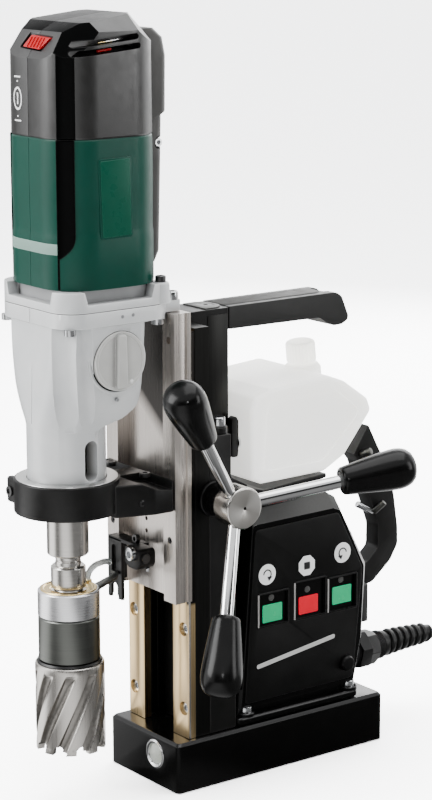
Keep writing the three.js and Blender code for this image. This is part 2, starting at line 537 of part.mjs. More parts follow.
function addSpindle() {
  const HOLDER_R = 20.6, HOLDER_Z0 = 99.3, HOLDER_Z1 = 129;
  put(spindle, 'spindle', 'steel', turned([
    [0, 170.7], [12.4, 170.7], [13.85, 172], [13.85, 262], [9, 264], [9, 322], [0, 322],
  ]), onSpindle);
  put(spindle, 'arbor', 'steel', turned([
    [0, HOLDER_Z1 + 0.2], [9, HOLDER_Z1 + 0.2], [9, 147.6], [10.6, 147.6], [11.6, 148.8],
    [11.6, 162.4], [10.6, 163.5], [8.6, 163.5], [8.6, 170.5], [0, 170.5],
  ]), onSpindle);
  put(spindle, 'tool_holder', 'darkSteel', turned([
    [0, HOLDER_Z0 + 12], [9, HOLDER_Z0 + 12], [9, HOLDER_Z0 - 1.8], [17, HOLDER_Z0 - 1.8],
    [17, HOLDER_Z0], [HOLDER_R - 1, HOLDER_Z0], [HOLDER_R, HOLDER_Z0 + 1],
    [HOLDER_R, HOLDER_Z1 - 1], [HOLDER_R - 1, HOLDER_Z1], [0, HOLDER_Z1],
  ], 28), onSpindle);
}

function addCutter() {
  const RADIUS = 23.25, BOTTOM = 37.5, TOP = 97.3, FLUTES = 9;
  const TWIST = rad(62), LOFT_STEPS = 5, GULLET_PHASE = 0.52;
  const fluteAngle = 2 * Math.PI / FLUTES;
  const flutePoints = [                                // fraction of a flute, radius
    [0, RADIUS], [0.58, RADIUS], [0.64, RADIUS - 2.6], [0.88, RADIUS - 3]];
  const flutes = Array.from({ length: FLUTES }, (_, i) => i);
  const stations = [];
  for (let step = 0; step <= LOFT_STEPS; step++) {
    const rise = step / LOFT_STEPS;
    stations.push([BOTTOM + (TOP - 4 - BOTTOM) * rise, flutes.flatMap((i) => flutePoints.map(
      ([fraction, radius]) => polar(radius, TWIST * rise + (i + fraction) * fluteAngle)))]);
  }
  const body = join(loft(stations), cyl('z', 0, 0, RADIUS - 0.3, 90, TOP, 27));
  const bore = turned([[0, 30], [18.2, 30], [18.2, 84], [4.4, 84], [4.4, 99], [0, 99]]);
  // slanted gullet between the teeth, limited to one side of the ring
  const gullet = intersect(
    box(-30, 30, -3.2, 3.2, -6, 3.2).rotateX(rad(24)).translate(20.7, 0, BOTTOM - 1.2),
    box(0, 40, -40, 40, 0, 60));
  const gullets = flutes.map((i) => gullet.clone().rotateZ(i * fluteAngle + GULLET_PHASE));
  put(spindle, 'annular_cutter', 'aluminium', cut(body, bore, ...gullets), onSpindle);

  const pinProfile = [[0, 38.6], [3.9, 43], [3.9, 86], [3.9, 95.6], [0, 95.6]];
  put(spindle, 'pilot_pin', 'steel', turned(pinProfile, 20), onSpindle);
}

function addSpindleGear() {
  const TEETH = 24, MODULE = 0.85, BORE_R = 9.3, BORE_STEPS = 20;
  const tipR = TEETH * MODULE / 2 + MODULE * 0.5;
  const rootR = TEETH * MODULE / 2 - MODULE * 0.9;
  const toothPoints = [[0, tipR], [0.22, tipR], [0.4, rootR], [0.82, rootR]]; // fraction, radius
  const outline = Array.from({ length: TEETH }, (_, i) => toothPoints.map(
    ([fraction, radius]) => polar(radius, 2 * Math.PI * (i + fraction) / TEETH))).flat();
  const bore = Array.from({ length: BORE_STEPS }, (_, i) =>
    polar(BORE_R, 2 * Math.PI * i / BORE_STEPS));
  put(spindle, 'spindle_gear', 'iron', prism('z', outline, 286, 298, { holes: [bore] }),
    onSpindle);
}

// ================= armature, selector dial, motor switch =================
function addArmature() {
  const BLADES = 9, FAN_R = 29;
  const blades = Array.from({ length: BLADES }, (_, i) =>
    box(8, FAN_R, -0.9, 0.9, 354.5, 362).rotateZ(2 * Math.PI * i / BLADES));
  const shaft = cyl('z', 0, 0, 4, 284, 470, 20);
  const core = cyl('z', 0, 0, 24, 374, 428, 28);
  const commutator = cyl('z', 0, 0, 13, 440, 456, 24);
  const fanDisc = cyl('z', 0, 0, FAN_R, 353, 355, 28);
  put(armature, 'armature', 'iron', join(shaft, core, commutator, fanDisc, ...blades),
    [0, MOTOR_Y, 0]);
}

function addSelector() {
  const dialProfile = [[0, 0], [19, 0], [19.3, 0.6], [19.3, 2.4], [18.7, 3], [0, 3]];
  const stem = cyl('x', 0, 0, 5, -14, 1, 16);
  const gripBar = prism('x', rrect(-3.6, 3.6, -17.4, 17.4, 3.4, 3.4, 3), 2, 5.4);
  put(selector, 'gear_selector', 'castGrey',
    join(alongX(turned(dialProfile, 36)), stem, gripBar), [38.4, MOTOR_Y, SELECTOR_Z]);
}

function addMotorSwitch() {
  put(motorSwitch, 'motor_switch', 'red',
    join(box(-9.5, 13.5, -170, -163.6, 501.6, 510.4), box(-4, 8, -164, -158, 503, 509)));
}

// ================= feed lever =================
const onFeedAxis = [0, FEED_Y, FEED_Z];

// pinion and shaft in one piece, along +X
function addPinion() {
  const rootR = PINION_R - 1.6;
  const tipR = PINION_R + 1.05;
  const halfAngle = (radius) =>
    (RACK_PITCH / 4 - 0.16 - (radius - PINION_R) * TOOTH_SLOPE * 0.86) / radius;
  const flanks = [                                     // side of the tooth, radius
    [-1, rootR], [-1, PINION_R], [-1, tipR], [1, tipR], [1, PINION_R], [1, rootR]];
  const outline = Array.from({ length: PINION_TEETH }, (_, i) => flanks.map(([side, radius]) =>
    polar(radius, 2 * Math.PI * i / PINION_TEETH + Math.PI + side * halfAngle(radius)))).flat();
  put(feed, 'pinion_shaft', 'iron',
    join(prism('x', outline, -7.4, 7.4), cyl('x', 0, 0, 6.9, -14.6, 52.8, 20)), onFeedAxis);
}

function addFeedLever() {
  const HUB_X0 = 53, HUB_X1 = 70, HUB_R = 14.1;
  const ROD_X = 59.6, ROD_R = 4.5, ROD_SWEEP = rad(19), KNOB_IN = 75;
  const ROD_ANGLES = [8.5, 128.5, 248.5];              // degrees from +Y towards +Z
  const SOCKET_R = ROD_R + 0.2, SOCKET_DEPTH = 20;

  // turns a part built along +Z out to a rod's direction, leaning towards +X
  const place = (geometry, angle) =>
    geometry.rotateY(ROD_SWEEP).rotateX(rad(angle - 90)).translate(ROD_X, 0, 0);
  const hub = alongX(turned([                          // radius, distance along X
    [7, 38.6], [10.4, 38.6], [10.8, 39.2], [10.8, 52], [HUB_R - 0.8, HUB_X0],
    [HUB_R, HUB_X0 + 1], [HUB_R, HUB_X1 - 1.2], [HUB_R - 1.2, HUB_X1], [0, HUB_X1],
    [0, HUB_X0], [7, HUB_X0], [7, 38.6]]));
  const rodBores = ROD_ANGLES.map((angle) => place(cyl('z', 0, 0, ROD_R + 0.25, 5, 30), angle));
  put(feed, 'feed_hub', 'steel', cut(hub, ...rodBores), onFeedAxis);

  const rodProfile = [[0, 5.4], [ROD_R, 5.4], [ROD_R, KNOB_IN + 18], [0, KNOB_IN + 18]];
  const knobProfile = [                                // radius, distance from the knob's inner end
    [0, SOCKET_DEPTH], [SOCKET_R, SOCKET_DEPTH], [SOCKET_R, 0], [8, 0], [9.3, 1], [10, 4],
    [12, 20], [13.6, 33], [14, 39], [13.2, 45], [9.6, 50.5], [5, 52.5], [0, 53],
  ].map(([radius, z]) => [radius, KNOB_IN + z]);
  ROD_ANGLES.forEach((angle, i) => {
    put(feed, `feed_rod_${i + 1}`, 'chrome', place(turned(rodProfile, 16), angle), onFeedAxis);
    put(feed, `feed_knob_${i + 1}`, 'blackGloss', place(turned(knobProfile, 18), angle),
      onFeedAxis);
  });
}

addMagnet();
addColumnFrame();
addGuides();
addColumnFittings();
addControlHousing();
addControlPanel();
addRearFittings();
addCoolantTank();
addSlide();
addMotorHolder();
addGearbox();
addMotorShells();
addCoolantFeed();
addSpindle();
addCutter();
addSpindleGear();
addArmature();
addSelector();
addMotorSwitch();
addPinion();
addFeedLever();

export default machine;
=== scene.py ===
"""Magnetic-base drilling machine with an annular cutter.

The magnet stands on z = 0. Front is -y, where the spindle hangs; +x is the right side, with the
push buttons, the speed dial and the feed lever. "base" parts stand still, "carriage" parts slide
up and down the column. Shapes are given in millimetres; materials, stage, lights and camera in
metres. Unless noted, outlines are (x, y) for a z prism, (y, z) for an x prism and (z, x) for a
y prism; lathe profiles are (radius, height).
"""
import bpy
import bmesh
import math
import random
from mathutils import Vector, Matrix


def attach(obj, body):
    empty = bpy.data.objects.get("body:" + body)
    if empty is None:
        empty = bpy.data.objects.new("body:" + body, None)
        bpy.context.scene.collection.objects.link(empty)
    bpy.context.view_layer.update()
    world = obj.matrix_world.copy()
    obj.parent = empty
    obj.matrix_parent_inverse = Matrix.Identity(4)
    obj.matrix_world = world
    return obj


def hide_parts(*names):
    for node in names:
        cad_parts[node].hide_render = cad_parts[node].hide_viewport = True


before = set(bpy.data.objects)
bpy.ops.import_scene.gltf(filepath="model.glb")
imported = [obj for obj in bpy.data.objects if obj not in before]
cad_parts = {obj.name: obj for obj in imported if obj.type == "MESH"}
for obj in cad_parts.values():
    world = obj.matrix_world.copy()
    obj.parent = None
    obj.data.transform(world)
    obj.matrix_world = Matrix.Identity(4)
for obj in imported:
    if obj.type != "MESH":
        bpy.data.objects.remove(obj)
random.seed(7)


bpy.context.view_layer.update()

MM = 0.001
ORIGIN = (0, 0, 0)
SPINDLE_Y = -149.5
MOTOR_Y = -134.0
DIAL_Z = 304.8
SPINDLE = (0, SPINDLE_Y, 0)
DIAL = (0, MOTOR_Y, DIAL_Z)
FEED = (0, -56, 201)            # centre of the feed lever shaft, which runs along x
EYE = (13.4, -90, 21.4)         # indicator on the front of the magnet
GLAND_X, GLAND_Z = 15, 61       # axis of the rear cable gland, which runs along y
NECK = (-4, 51, 268.5)          # filler neck of the canister
MOTOR_HALF, MOTOR_RADIUS = 40, 27
CORNER_X = MOTOR_HALF - MOTOR_RADIUS      # centre of the motor's front corner rounding
CORNER_Y = MOTOR_Y - CORNER_X
SIDES = ((1, "right"), (-1, "left"))

# =====================================================================================
# shader helpers
# =====================================================================================
MATS = {}


class Nodes:
    """Adds shader nodes to one tree. Any input may be a value or another node's output."""

    def __init__(self, tree):
        self.tree = tree

    def feed(self, socket, value):
        if isinstance(value, bpy.types.NodeSocket):
            self.tree.links.new(value, socket)
        elif socket.type == "RGBA":
            socket.default_value = (*value, 1)
        else:
            socket.default_value = value

    def node(self, kind, inputs={}, **settings):
        made = self.tree.nodes.new("ShaderNode" + kind)
        for key, value in settings.items():
            setattr(made, key, value)
        for key, value in inputs.items():
            self.feed(made.inputs[key], value)
        return made

    def calc(self, operation, *values):
        return self.node("Math", dict(enumerate(values)), operation=operation).outputs[0]

    def split(self, vector):
        return self.node("SeparateXYZ", {0: vector}).outputs

    def span(self, value, to, over=(0.3, 0.7), **settings):
        """Maps the range `over` onto the range `to`, clamped."""
        ends = {0: value, 1: over[0], 2: over[1], 3: to[0], 4: to[1]}
        return self.node("MapRange", ends, **settings).outputs[0]


class Material(Nodes):
    def __init__(self, name):
        made = bpy.data.materials.new(name)
        made.use_nodes = True
        super().__init__(made.node_tree)
        self.surface = self.tree.nodes["Principled BSDF"]
        self.object = self.node("TexCoord").outputs["Object"]
        MATS[name] = made

    def coords(self, scale=(1, 1, 1), location=(0, 0, 0)):
        inputs = {"Scale": scale, "Location": location, "Vector": self.object}
        return self.node("Mapping", inputs).outputs["Vector"]

    def noise(self, scale, detail=3.0, rough=0.5, vector=None):
        inputs = {"Scale": scale, "Detail": detail, "Roughness": rough,
                  "Vector": vector or self.object}
        return self.node("TexNoise", inputs).outputs["Fac"]

    def mix(self, factor, first, second):
        return self.node("Mix", {0: factor, 6: first, 7: second}, data_type="RGBA",
                         blend_type="MIX").outputs[2]

    def bump(self, height, strength, distance):
        inputs = {"Strength": strength, "Distance": distance, "Height": height}
        return self.node("Bump", inputs).outputs["Normal"]

    def edge(self, radius):
        """1 on convex edges, 0 on flats: wear, polish and a painted edge highlight sit there."""
        rounded = self.node("Bevel", {"Radius": radius}, samples=4).outputs["Normal"]
        flat = self.node("NewGeometry").outputs["Normal"]
        facing = self.node("VectorMath", {0: rounded, 1: flat}, operation="DOT_PRODUCT")
        return self.span(facing.outputs["Value"], to=(1.0, 0.0), over=(0.90, 0.995))

    def shadow(self, to, over):
        """Factor that grows in corners out of the light."""
        light = self.node("AmbientOcclusion", samples=4)
        light.inputs["Distance"].default_value = self.corner_reach
        return self.span(light.outputs["AO"], to=to, over=over)

    def set(self, **inputs):
        """Sets surface inputs; underscores stand for spaces."""
        for key, value in inputs.items():
            self.feed(self.surface.inputs[key.replace("_", " ")], value)


def shade(color, factor, lift=0.0):
    return tuple(min(1, x * factor + lift) for x in color)


# =====================================================================================
# materials
# =====================================================================================
# The palette also holds a few spare finishes.
# name, colour, roughness, grain bump, colour variation, specular level, grain scale
PLASTICS = (
    ("plastic_black", (0.008, 0.0078, 0.0074), 0.34, 0.3, 0.1, 0.8, 2600),
    ("plastic_deep", (0.003, 0.003, 0.003), 0.32, 0.1, 0.1, 0.15, 2600),
    ("plastic_green", (0.0, 0.044, 0.029), 0.34, 0.22, 0.06, 0.22, 2600),
    ("plastic_label", (0.0003, 0.062, 0.036), 0.3, 0.02, 0.02, 0.15, 2600),
    ("stripe_grey", (0.20, 0.30, 0.26), 0.4, 0.2, 0.06, 0.22, 2600),
    ("plastic_red", (0.40, 0.0, 0.003), 0.25, 0.05, 0.1, 0.22, 2600),
    ("cap_green", (0.0, 0.42, 0.17), 0.22, 0.04, 0.08, 0.22, 2600),
    ("cap_red", (0.70, 0.0, 0.02), 0.22, 0.04, 0.08, 0.22, 2600),
    ("rubber", (0.004, 0.004, 0.004), 0.36, 0.4, 0.2, 0.3, 2600),
    ("rocker_red", (0.22, 0.015, 0.012), 0.3, 0.05, 0.1, 0.22, 2600),
    ("mark_white", (0.82, 0.83, 0.82), 0.45, 0.03, 0.03, 0.22, 2600),
    ("grip_black", (0.010, 0.010, 0.0096), 0.42, 0.45, 0.12, 0.35, 1500),
    ("inlay_grey", (0.035, 0.034, 0.032), 0.55, 0.2, 0.12, 0.2, 2600),
    ("lamp_dim", (0.055, 0.055, 0.053), 0.25, 0.05, 0.1, 0.22, 2600),
    # painted highlight strip on the button windows
    ("stripe_dim", (0.35, 0.34, 0.33), 0.3, 0.05, 0.1, 0.22, 2600),
    ("panel_black", (0.0035, 0.0035, 0.0034), 0.42, 0.7, 0.4, 0.14, 1300),
    # painted dark reflections on the motor's front corners and on the hood's upper front facet
    ("strip_gloss", (0.0006, 0.0007, 0.0007), 0.16, 0.05, 0.1, 0.04, 2600),
    ("strip_matte", (0.0009, 0.001, 0.001), 0.3, 0.05, 0.1, 0.02, 2600),
    ("liner_grey", (0.34, 0.345, 0.35), 0.45, 0.2, 0.1, 0.22, 2600),
    ("shadow_grey", (0.16, 0.165, 0.17), 0.5, 0.2, 0.1, 0.22, 2600),
    ("index_grey", (0.20, 0.205, 0.21), 0.5, 0.1, 0.1, 0.22, 2600),
    ("mark_dim", (0.42, 0.42, 0.41), 0.5, 0.03, 0.03, 0.22, 2600),
    ("spine_grey", (0.045, 0.044, 0.042), 0.42, 0.35, 0.12, 0.3, 2600),
    ("pcb", (0.02, 0.16, 0.06), 0.4, 0.2, 0.2, 0.22, 2600),
    ("resin", (0.035, 0.022, 0.015), 0.35, 0.4, 0.25, 0.22, 2600),
)
# name, colour, roughness, grain scale along x, y, z (low = long streaks), bump, variation
METALS = (
    ("ground_steel", (0.60, 0.555, 0.52), 0.3, (1500, 1500, 18), 0.16, 0.1),
    ("slide_steel", (0.62, 0.575, 0.535), 0.28, (1500, 1500, 14), 0.22, 0.1),
    ("machined_face", (0.78, 0.78, 0.77), 0.3, (1100, 1100, 1100), 0.12, 0.08),
    ("satin_grey", (0.62, 0.60, 0.56), 0.38, (900, 20, 900), 0.14, 0.08),
    ("rim_grey", (0.48, 0.48, 0.48), 0.42, (500, 500, 500), 0.2, 0.12),
    ("case_top", (0.085, 0.085, 0.083), 0.5, (500, 500, 500), 0.2, 0.12),
    ("bar_side", (0.030, 0.030, 0.029), 0.42, (900, 900, 30), 0.14, 0.14),
    ("ring_alu", (0.90, 0.90, 0.915), 0.28, (30, 30, 2600), 0.04, 0.04),
    ("rail_steel", (0.022, 0.022, 0.021), 0.34, (900, 900, 30), 0.14, 0.15),
    ("top_grey", (0.09, 0.09, 0.087), 0.45, (900, 20, 900), 0.14, 0.08),
    ("slot_steel", (0.06, 0.05, 0.035), 0.28, (40, 40, 900), 0.2, 0.3),
    ("ground_light", (0.82, 0.79, 0.75), 0.26, (1500, 1500, 18), 0.12, 0.06),
    ("brass", (0.84, 0.62, 0.33), 0.3, (1400, 1400, 14), 0.2, 0.16),
    ("gold", (0.86, 0.66, 0.32), 0.22, (40, 40, 1500), 0.12, 0.1),
    ("dark_steel", (0.10, 0.10, 0.092), 0.36, (900, 900, 30), 0.16, 0.2),
    ("holder_dark", (0.135, 0.14, 0.13), 0.34, (25, 25, 2200), 0.14, 0.15),
    ("turned_alu", (0.70, 0.70, 0.68), 0.26, (30, 30, 2600), 0.14, 0.08),
    ("turned_steel", (0.62, 0.60, 0.57), 0.2, (30, 30, 2600), 0.12, 0.1),
    ("cutter", (0.60, 0.575, 0.54), 0.28, (900, 900, 30), 0.08, 0.10),
    ("cutter_flute", (0.30, 0.285, 0.265), 0.36, (420, 420, 420), 0.08, 0.2),
    ("zinc", (0.60, 0.61, 0.62), 0.18, (300, 300, 1200), 0.1, 0.1),
    ("screw_dark", (0.08, 0.08, 0.08), 0.35, (300, 300, 1200), 0.1, 0.1),
    ("iron", (0.25, 0.25, 0.25), 0.42, (400, 400, 400), 0.2, 0.15),
    ("copper", (0.70, 0.34, 0.18), 0.35, (40, 40, 900), 0.3, 0.15),
)


def plastic(name, color, rough, grain, variation, specular, grain_scale):
    mat = Material(name)
    patches = mat.span(mat.noise(scale=38), to=(0, 1))
    base = mat.mix(patches, shade(color, 1 - variation), shade(color, 1 + variation))
    # edges lightened: wear and a painted edge highlight
    base = mat.mix(mat.edge(radius=0.0009), base, shade(color, 1.35, lift=0.012))
    mat.set(Base_Color=base, Specular_IOR_Level=specular, Coat_Roughness=0.15,
            Roughness=mat.span(mat.noise(scale=160, detail=4), to=(rough - 0.05, rough + 0.06)),
            Normal=mat.bump(mat.noise(scale=grain_scale, detail=2), grain, distance=0.00012))


def metal(name, color, rough, streak, strength, variation):
    mat = Material(name)
    grain = mat.noise(scale=1.0, detail=4, rough=0.6, vector=mat.coords(scale=streak))
    base = mat.mix(mat.span(grain, to=(0, 1), over=(0.25, 0.75)),
                   shade(color, 1 - variation), shade(color, 1 + variation))
    base = mat.mix(mat.span(mat.noise(scale=30), to=(0.0, 0.35)), base, shade(color, 0.86))
    if name in METAL_SHADING:
        base = METAL_SHADING[name](mat, base)
    mat.set(Base_Color=base, Metallic=1.0,
            Roughness=mat.span(grain, to=(rough - 0.06, rough + 0.08), over=(0.2, 0.8)),
            Normal=mat.bump(grain, strength, distance=0.00006))


def channel_shading(mat, base):
    """Painted reflection: the upper part of the ground channel is darkened where it mirrors the
    dark back of the gearbox.
    """
    x, y, z = mat.split(mat.object)
    inside = mat.calc("ABSOLUTE", x)
    height = mat.calc("MULTIPLY_ADD", x, 0.8, z)
    factor = mat.span(height, to=(0, 0.96), over=(0.250, 0.264))
    for limit in (mat.span(inside, to=(1, 0), over=(0.0262, 0.0268)),
                  mat.span(y, to=(1, 0), over=(-0.0816, -0.0812))):
        factor = mat.calc("MULTIPLY", factor, limit)
    return mat.mix(factor, base, (0.02, 0.019, 0.018))


def flank_shading(mat, base):
    """Painted shade: darkens the outer right edge of the gib strips above z = 130 mm."""
    x, _, z = mat.split(mat.object)
    factor = mat.calc("MULTIPLY", mat.span(x, to=(0, 1), over=(0.0328, 0.0332)),
                      mat.span(z, to=(0, 1), over=(0.129, 0.131)))
    # painted shade mixed into the brass colour
    return mat.mix(factor, base, (0.012, 0.011, 0.010))


METAL_SHADING = {"slide_steel": channel_shading, "brass": flank_shading}


def black_enamel():
    """Glossy black with a faint orange peel and lighter edges for wear and a painted edge
    highlight; surfaces that face up get more specular, a painted sheen.
    """
    mat = Material("black_enamel")
    dust = mat.span(mat.noise(scale=55, detail=6, rough=0.65), to=(0, 0.5))
    base = mat.mix(dust, (0.0012, 0.0012, 0.0012), (0.003, 0.003, 0.0029))
    # edges lightened: wear and a painted edge highlight
    base = mat.mix(mat.edge(radius=0.0012), base, (0.02, 0.02, 0.02))
    # painted sheen: faces that point up get a higher specular level
    upward = mat.split(mat.node("NewGeometry").outputs["Normal"])["Z"]
    mat.set(Base_Color=base, Roughness=mat.span(mat.noise(scale=90, detail=5), to=(0.16, 0.24)),
            Normal=mat.bump(mat.noise(scale=420, detail=2), strength=0.1, distance=0.0002),
            Specular_IOR_Level=mat.span(upward, to=(0.12, 0.5), over=(0.2, 0.8)))


def black_powder():
    """Satin powder coat for castings and brackets, with lighter edges for wear and a painted edge
    highlight.
    """
    mat = Material("black_powder")
    patches = mat.span(mat.noise(scale=60, detail=4), to=(0, 1))
    base = mat.mix(patches, (0.0035, 0.0035, 0.0034), (0.006, 0.0058, 0.0056))
    # edges lightened: wear and a painted edge highlight
    base = mat.mix(mat.edge(radius=0.0012), base, (0.03, 0.029, 0.028))
    mat.set(Base_Color=base, Roughness=mat.span(mat.noise(scale=200), to=(0.30, 0.40)),
            Normal=mat.bump(mat.noise(scale=1500), strength=0.22, distance=0.00015),
            Specular_IOR_Level=0.26)


def dial_grey():
    mat = Material("dial_grey")
    mat.corner_reach = 0.006
    base = mat.mix(mat.span(mat.noise(scale=60), to=(0, 1)),
                   (0.44, 0.44, 0.42), (0.50, 0.50, 0.48))
    # painted shade: darker in the fillets and corners, from ambient occlusion
    base = mat.mix(mat.shadow(to=(0.9, 0.0), over=(0.3, 0.95)), base, (0.10, 0.10, 0.095))
    # edges lightened: wear and a painted edge highlight
    base = mat.mix(mat.edge(radius=0.0009), base, (0.85, 0.85, 0.83))
    mat.set(Base_Color=base, Roughness=mat.span(mat.noise(scale=200), to=(0.3, 0.38)),
            Normal=mat.bump(mat.noise(scale=1400, detail=2), strength=0.12, distance=0.0001),
            Specular_IOR_Level=0.5)


def cast_grey():
    """Light grey paint over a fine cast texture, with painted shade in the corners and lighter
    edges for wear and a painted edge highlight.
    """
    mat = Material("cast_grey")
    mat.corner_reach = 0.009
    base = mat.mix(mat.span(mat.noise(scale=45, detail=4), to=(0, 1)),
                   (0.56, 0.575, 0.58), (0.63, 0.64, 0.64))
    # painted shade: darker in the corners, from ambient occlusion
    base = mat.mix(mat.shadow(to=(0.75, 0.0), over=(0.2, 0.9)), base, (0.16, 0.165, 0.17))
    # edges lightened: wear and a painted edge highlight
    base = mat.mix(mat.edge(radius=0.0010), base, (0.78, 0.79, 0.79))
    fine = mat.noise(scale=1100, detail=4, rough=0.6)
    mat.set(Base_Color=base, Roughness=mat.span(mat.noise(scale=300), to=(0.3, 0.42)),
            Normal=mat.bump(fine, strength=0.22, distance=0.00018), Metallic=0.15)


def chrome():
    mat = Material("chrome")
    cloud = mat.noise(scale=1.0, vector=mat.coords(scale=(60, 60, 60)))
    mat.set(Base_Color=mat.mix(mat.span(cloud, to=(0, 1)), (0.80, 0.81, 0.82), (0.9, 0.9, 0.9)),
            Metallic=1.0, Roughness=mat.span(cloud, to=(0.05, 0.1)),
            Normal=mat.bump(mat.noise(scale=700, detail=2), strength=0.04, distance=0.00005))


def hub_face():
    """Turned face of the feed hub, with a painted highlight: a fan of light about its own axis.
    """
    mat = Material("hub_face")
    _, y, z = mat.split(mat.coords(location=(0, 0.056, -0.201)))
    doubled = mat.calc("MULTIPLY_ADD", mat.calc("ARCTAN2", z, y), 2.0, 0.80)
    fan = mat.span(mat.calc("SINE", doubled), to=(0, 1), over=(-0.2, 1))
    rings = mat.noise(scale=1.0, detail=2, vector=mat.coords(scale=(10, 1500, 1500)))
    # painted highlight: the fan brightens the colour along one direction across the face
    mat.set(Base_Color=mat.mix(fan, (0.60, 0.58, 0.545), (0.92, 0.90, 0.86)), Metallic=1.0,
            Roughness=0.3, Normal=mat.bump(rings, strength=0.1, distance=0.00005))


def phenolic():
    """Polished black phenolic."""
    mat = Material("phenolic")
    patches = mat.span(mat.noise(scale=70, detail=4), to=(0, 1))
    mat.set(Base_Color=mat.mix(patches, (0.0015, 0.0015, 0.0015), (0.003, 0.003, 0.003)),
            Roughness=mat.span(mat.noise(scale=120, detail=4), to=(0.17, 0.24)),
            Normal=mat.bump(mat.noise(scale=350, detail=2), strength=0.05, distance=0.0001),
            Specular_IOR_Level=0.2)


def tank_milk():
    """Milky polyethylene with a painted glow: a little emission brightens it as if lit from
    within.
    """
    mat = Material("tank_milk")
    patches = mat.span(mat.noise(scale=16), to=(0, 1))
    mat.set(Base_Color=mat.mix(patches, (0.84, 0.84, 0.80), (0.90, 0.90, 0.87)),
            Roughness=0.38, Subsurface_Weight=0.7, Subsurface_Radius=(1.0, 0.95, 0.85),
            Subsurface_Scale=0.012, Specular_IOR_Level=0.4,
            Normal=mat.bump(mat.noise(scale=260), strength=0.08, distance=0.0003),
            # painted light: emission brightens the canister and its cap
            Emission_Color=(1.0, 0.993, 0.955), Emission_Strength=1.1)


def clear_hose():
    mat = Material("clear_hose")
    mat.set(Base_Color=(0.85, 0.88, 0.86), Transmission_Weight=0.75, IOR=1.4,
            Roughness=mat.span(mat.noise(scale=300, detail=2), to=(0.08, 0.18)))


def lens():
    mat = Material("lens")
    patches = mat.span(mat.noise(scale=900, detail=2), to=(0, 1))
    mat.set(Base_Color=mat.mix(patches, (0.72, 0.78, 0.66), (0.9, 0.92, 0.86)), Roughness=0.12,
            Transmission_Weight=0.35, Coat_Weight=0.6,
            Normal=mat.bump(mat.noise(scale=1400, detail=1), strength=0.3, distance=0.0002))


def floor_material():
    """Pale sweep, near white to the camera. In reflections it glows by compass direction
    about the machine, so that the camera's side mirrors dark."""
    mat = Material("floor")
    place = mat.node("NewGeometry").outputs["Position"]
    x, y, _ = mat.split(place)
    azimuth = mat.calc("ARCTAN2", y, x)
    distance = mat.node("VectorMath", {0: place}, operation="LENGTH").outputs["Value"]

    def sector(rise, fall, level):
        inside = mat.calc("MULTIPLY", mat.span(azimuth, to=(0, 1), over=rise),
                          mat.span(azimuth, to=(1, 0), over=fall))
        return mat.calc("MULTIPLY", inside, level)

    left = sector(rise=(-2.60, -2.35), fall=(-1.95, -1.72), level=2.3)
    front = sector(rise=(-1.50, -1.15), fall=(-0.80, -0.35), level=1.25)
    rear = sector(rise=(1.15, 1.35), fall=(1.9, 2.1), level=2.0)
    rest = mat.calc("MULTIPLY", mat.span(azimuth, to=(0, 1), over=(1.9, 2.1)), 0.3)
    glow = mat.calc("ADD", mat.calc("ADD", left, front), mat.calc("ADD", rear, rest))
    glow = mat.calc("ADD", glow, 0.26)
    glow = mat.calc("MULTIPLY", glow, mat.span(distance, to=(0.2, 1), over=(0.06, 0.28)))
    patches = mat.span(mat.noise(scale=3, detail=2), to=(0, 1))
    mat.set(Base_Color=mat.mix(patches, (0.80, 0.80, 0.80), (0.82, 0.82, 0.82)), Roughness=0.75)
    ray = mat.node("LightPath").outputs
    mirrored = mat.node("Emission", {"Strength": glow}).outputs[0]
    seen = mat.node("BsdfDiffuse", {"Color": (4.0, 4.0, 4.0)}).outputs[0]
    shader = mat.node("MixShader", {0: ray["Is Glossy Ray"], 1: mat.surface.outputs[0],
                                    2: mirrored}).outputs[0]
    shader = mat.node("MixShader", {0: ray["Is Camera Ray"], 1: shader, 2: seen}).outputs[0]
    mat.feed(mat.tree.nodes["Material Output"].inputs[0], shader)


def make_materials():
    for row in PLASTICS:
        plastic(*row)
    for row in METALS:
        metal(*row)
    for make in (black_enamel, black_powder, dial_grey, cast_grey, chrome, hub_face, phenolic,
                 tank_milk, clear_hose, lens, floor_material):
        make()


# =====================================================================================
# mesh helpers (all inputs in millimetres)
# =====================================================================================
AXES = {"z": Matrix.Identity(3),
        "x": Matrix(((0, 0, 1), (1, 0, 0), (0, 1, 0))),
        "y": Matrix(((0, 1, 0), (0, 0, 1), (1, 0, 0))),
        "-y": Matrix(((1, 0, 0), (0, 0, -1), (0, 1, 0))),
        "-z": Matrix(((1, 0, 0), (0, -1, 0), (0, 0, -1)))}


def basis(x_axis, y_axis, z_axis):
    return Matrix((x_axis, y_axis, z_axis)).transposed()


def link_object(name, mesh):
    obj = bpy.data.objects.new(name, mesh)
    bpy.context.scene.collection.objects.link(obj)
    return obj


def discard(obj):
    mesh = obj.data
    bpy.data.objects.remove(obj)
    if mesh.users == 0:
        bpy.data.meshes.remove(mesh)


def solid(name, verts, faces, at=ORIGIN, axis="z"):
    """Welded mesh, its z turned to `axis` (a name or a matrix) and its origin moved to `at`."""
    turn = AXES[axis] if isinstance(axis, str) else axis
    offset = Vector(at)
    placed = [turn @ Vector(v) + offset for v in verts]
    mesh = bpy.data.meshes.new(name)
    mesh.from_pydata([(x * MM, y * MM, z * MM) for x, y, z in placed], [], faces)
    mesh.validate()
    mesh.update()
    bm = bmesh.new()
    bm.from_mesh(mesh)
    bmesh.ops.remove_doubles(bm, verts=bm.verts, dist=1e-6)
    bmesh.ops.recalc_face_normals(bm, faces=bm.faces)
    bm.to_mesh(mesh)
    bm.free()
    return link_object(name, mesh)


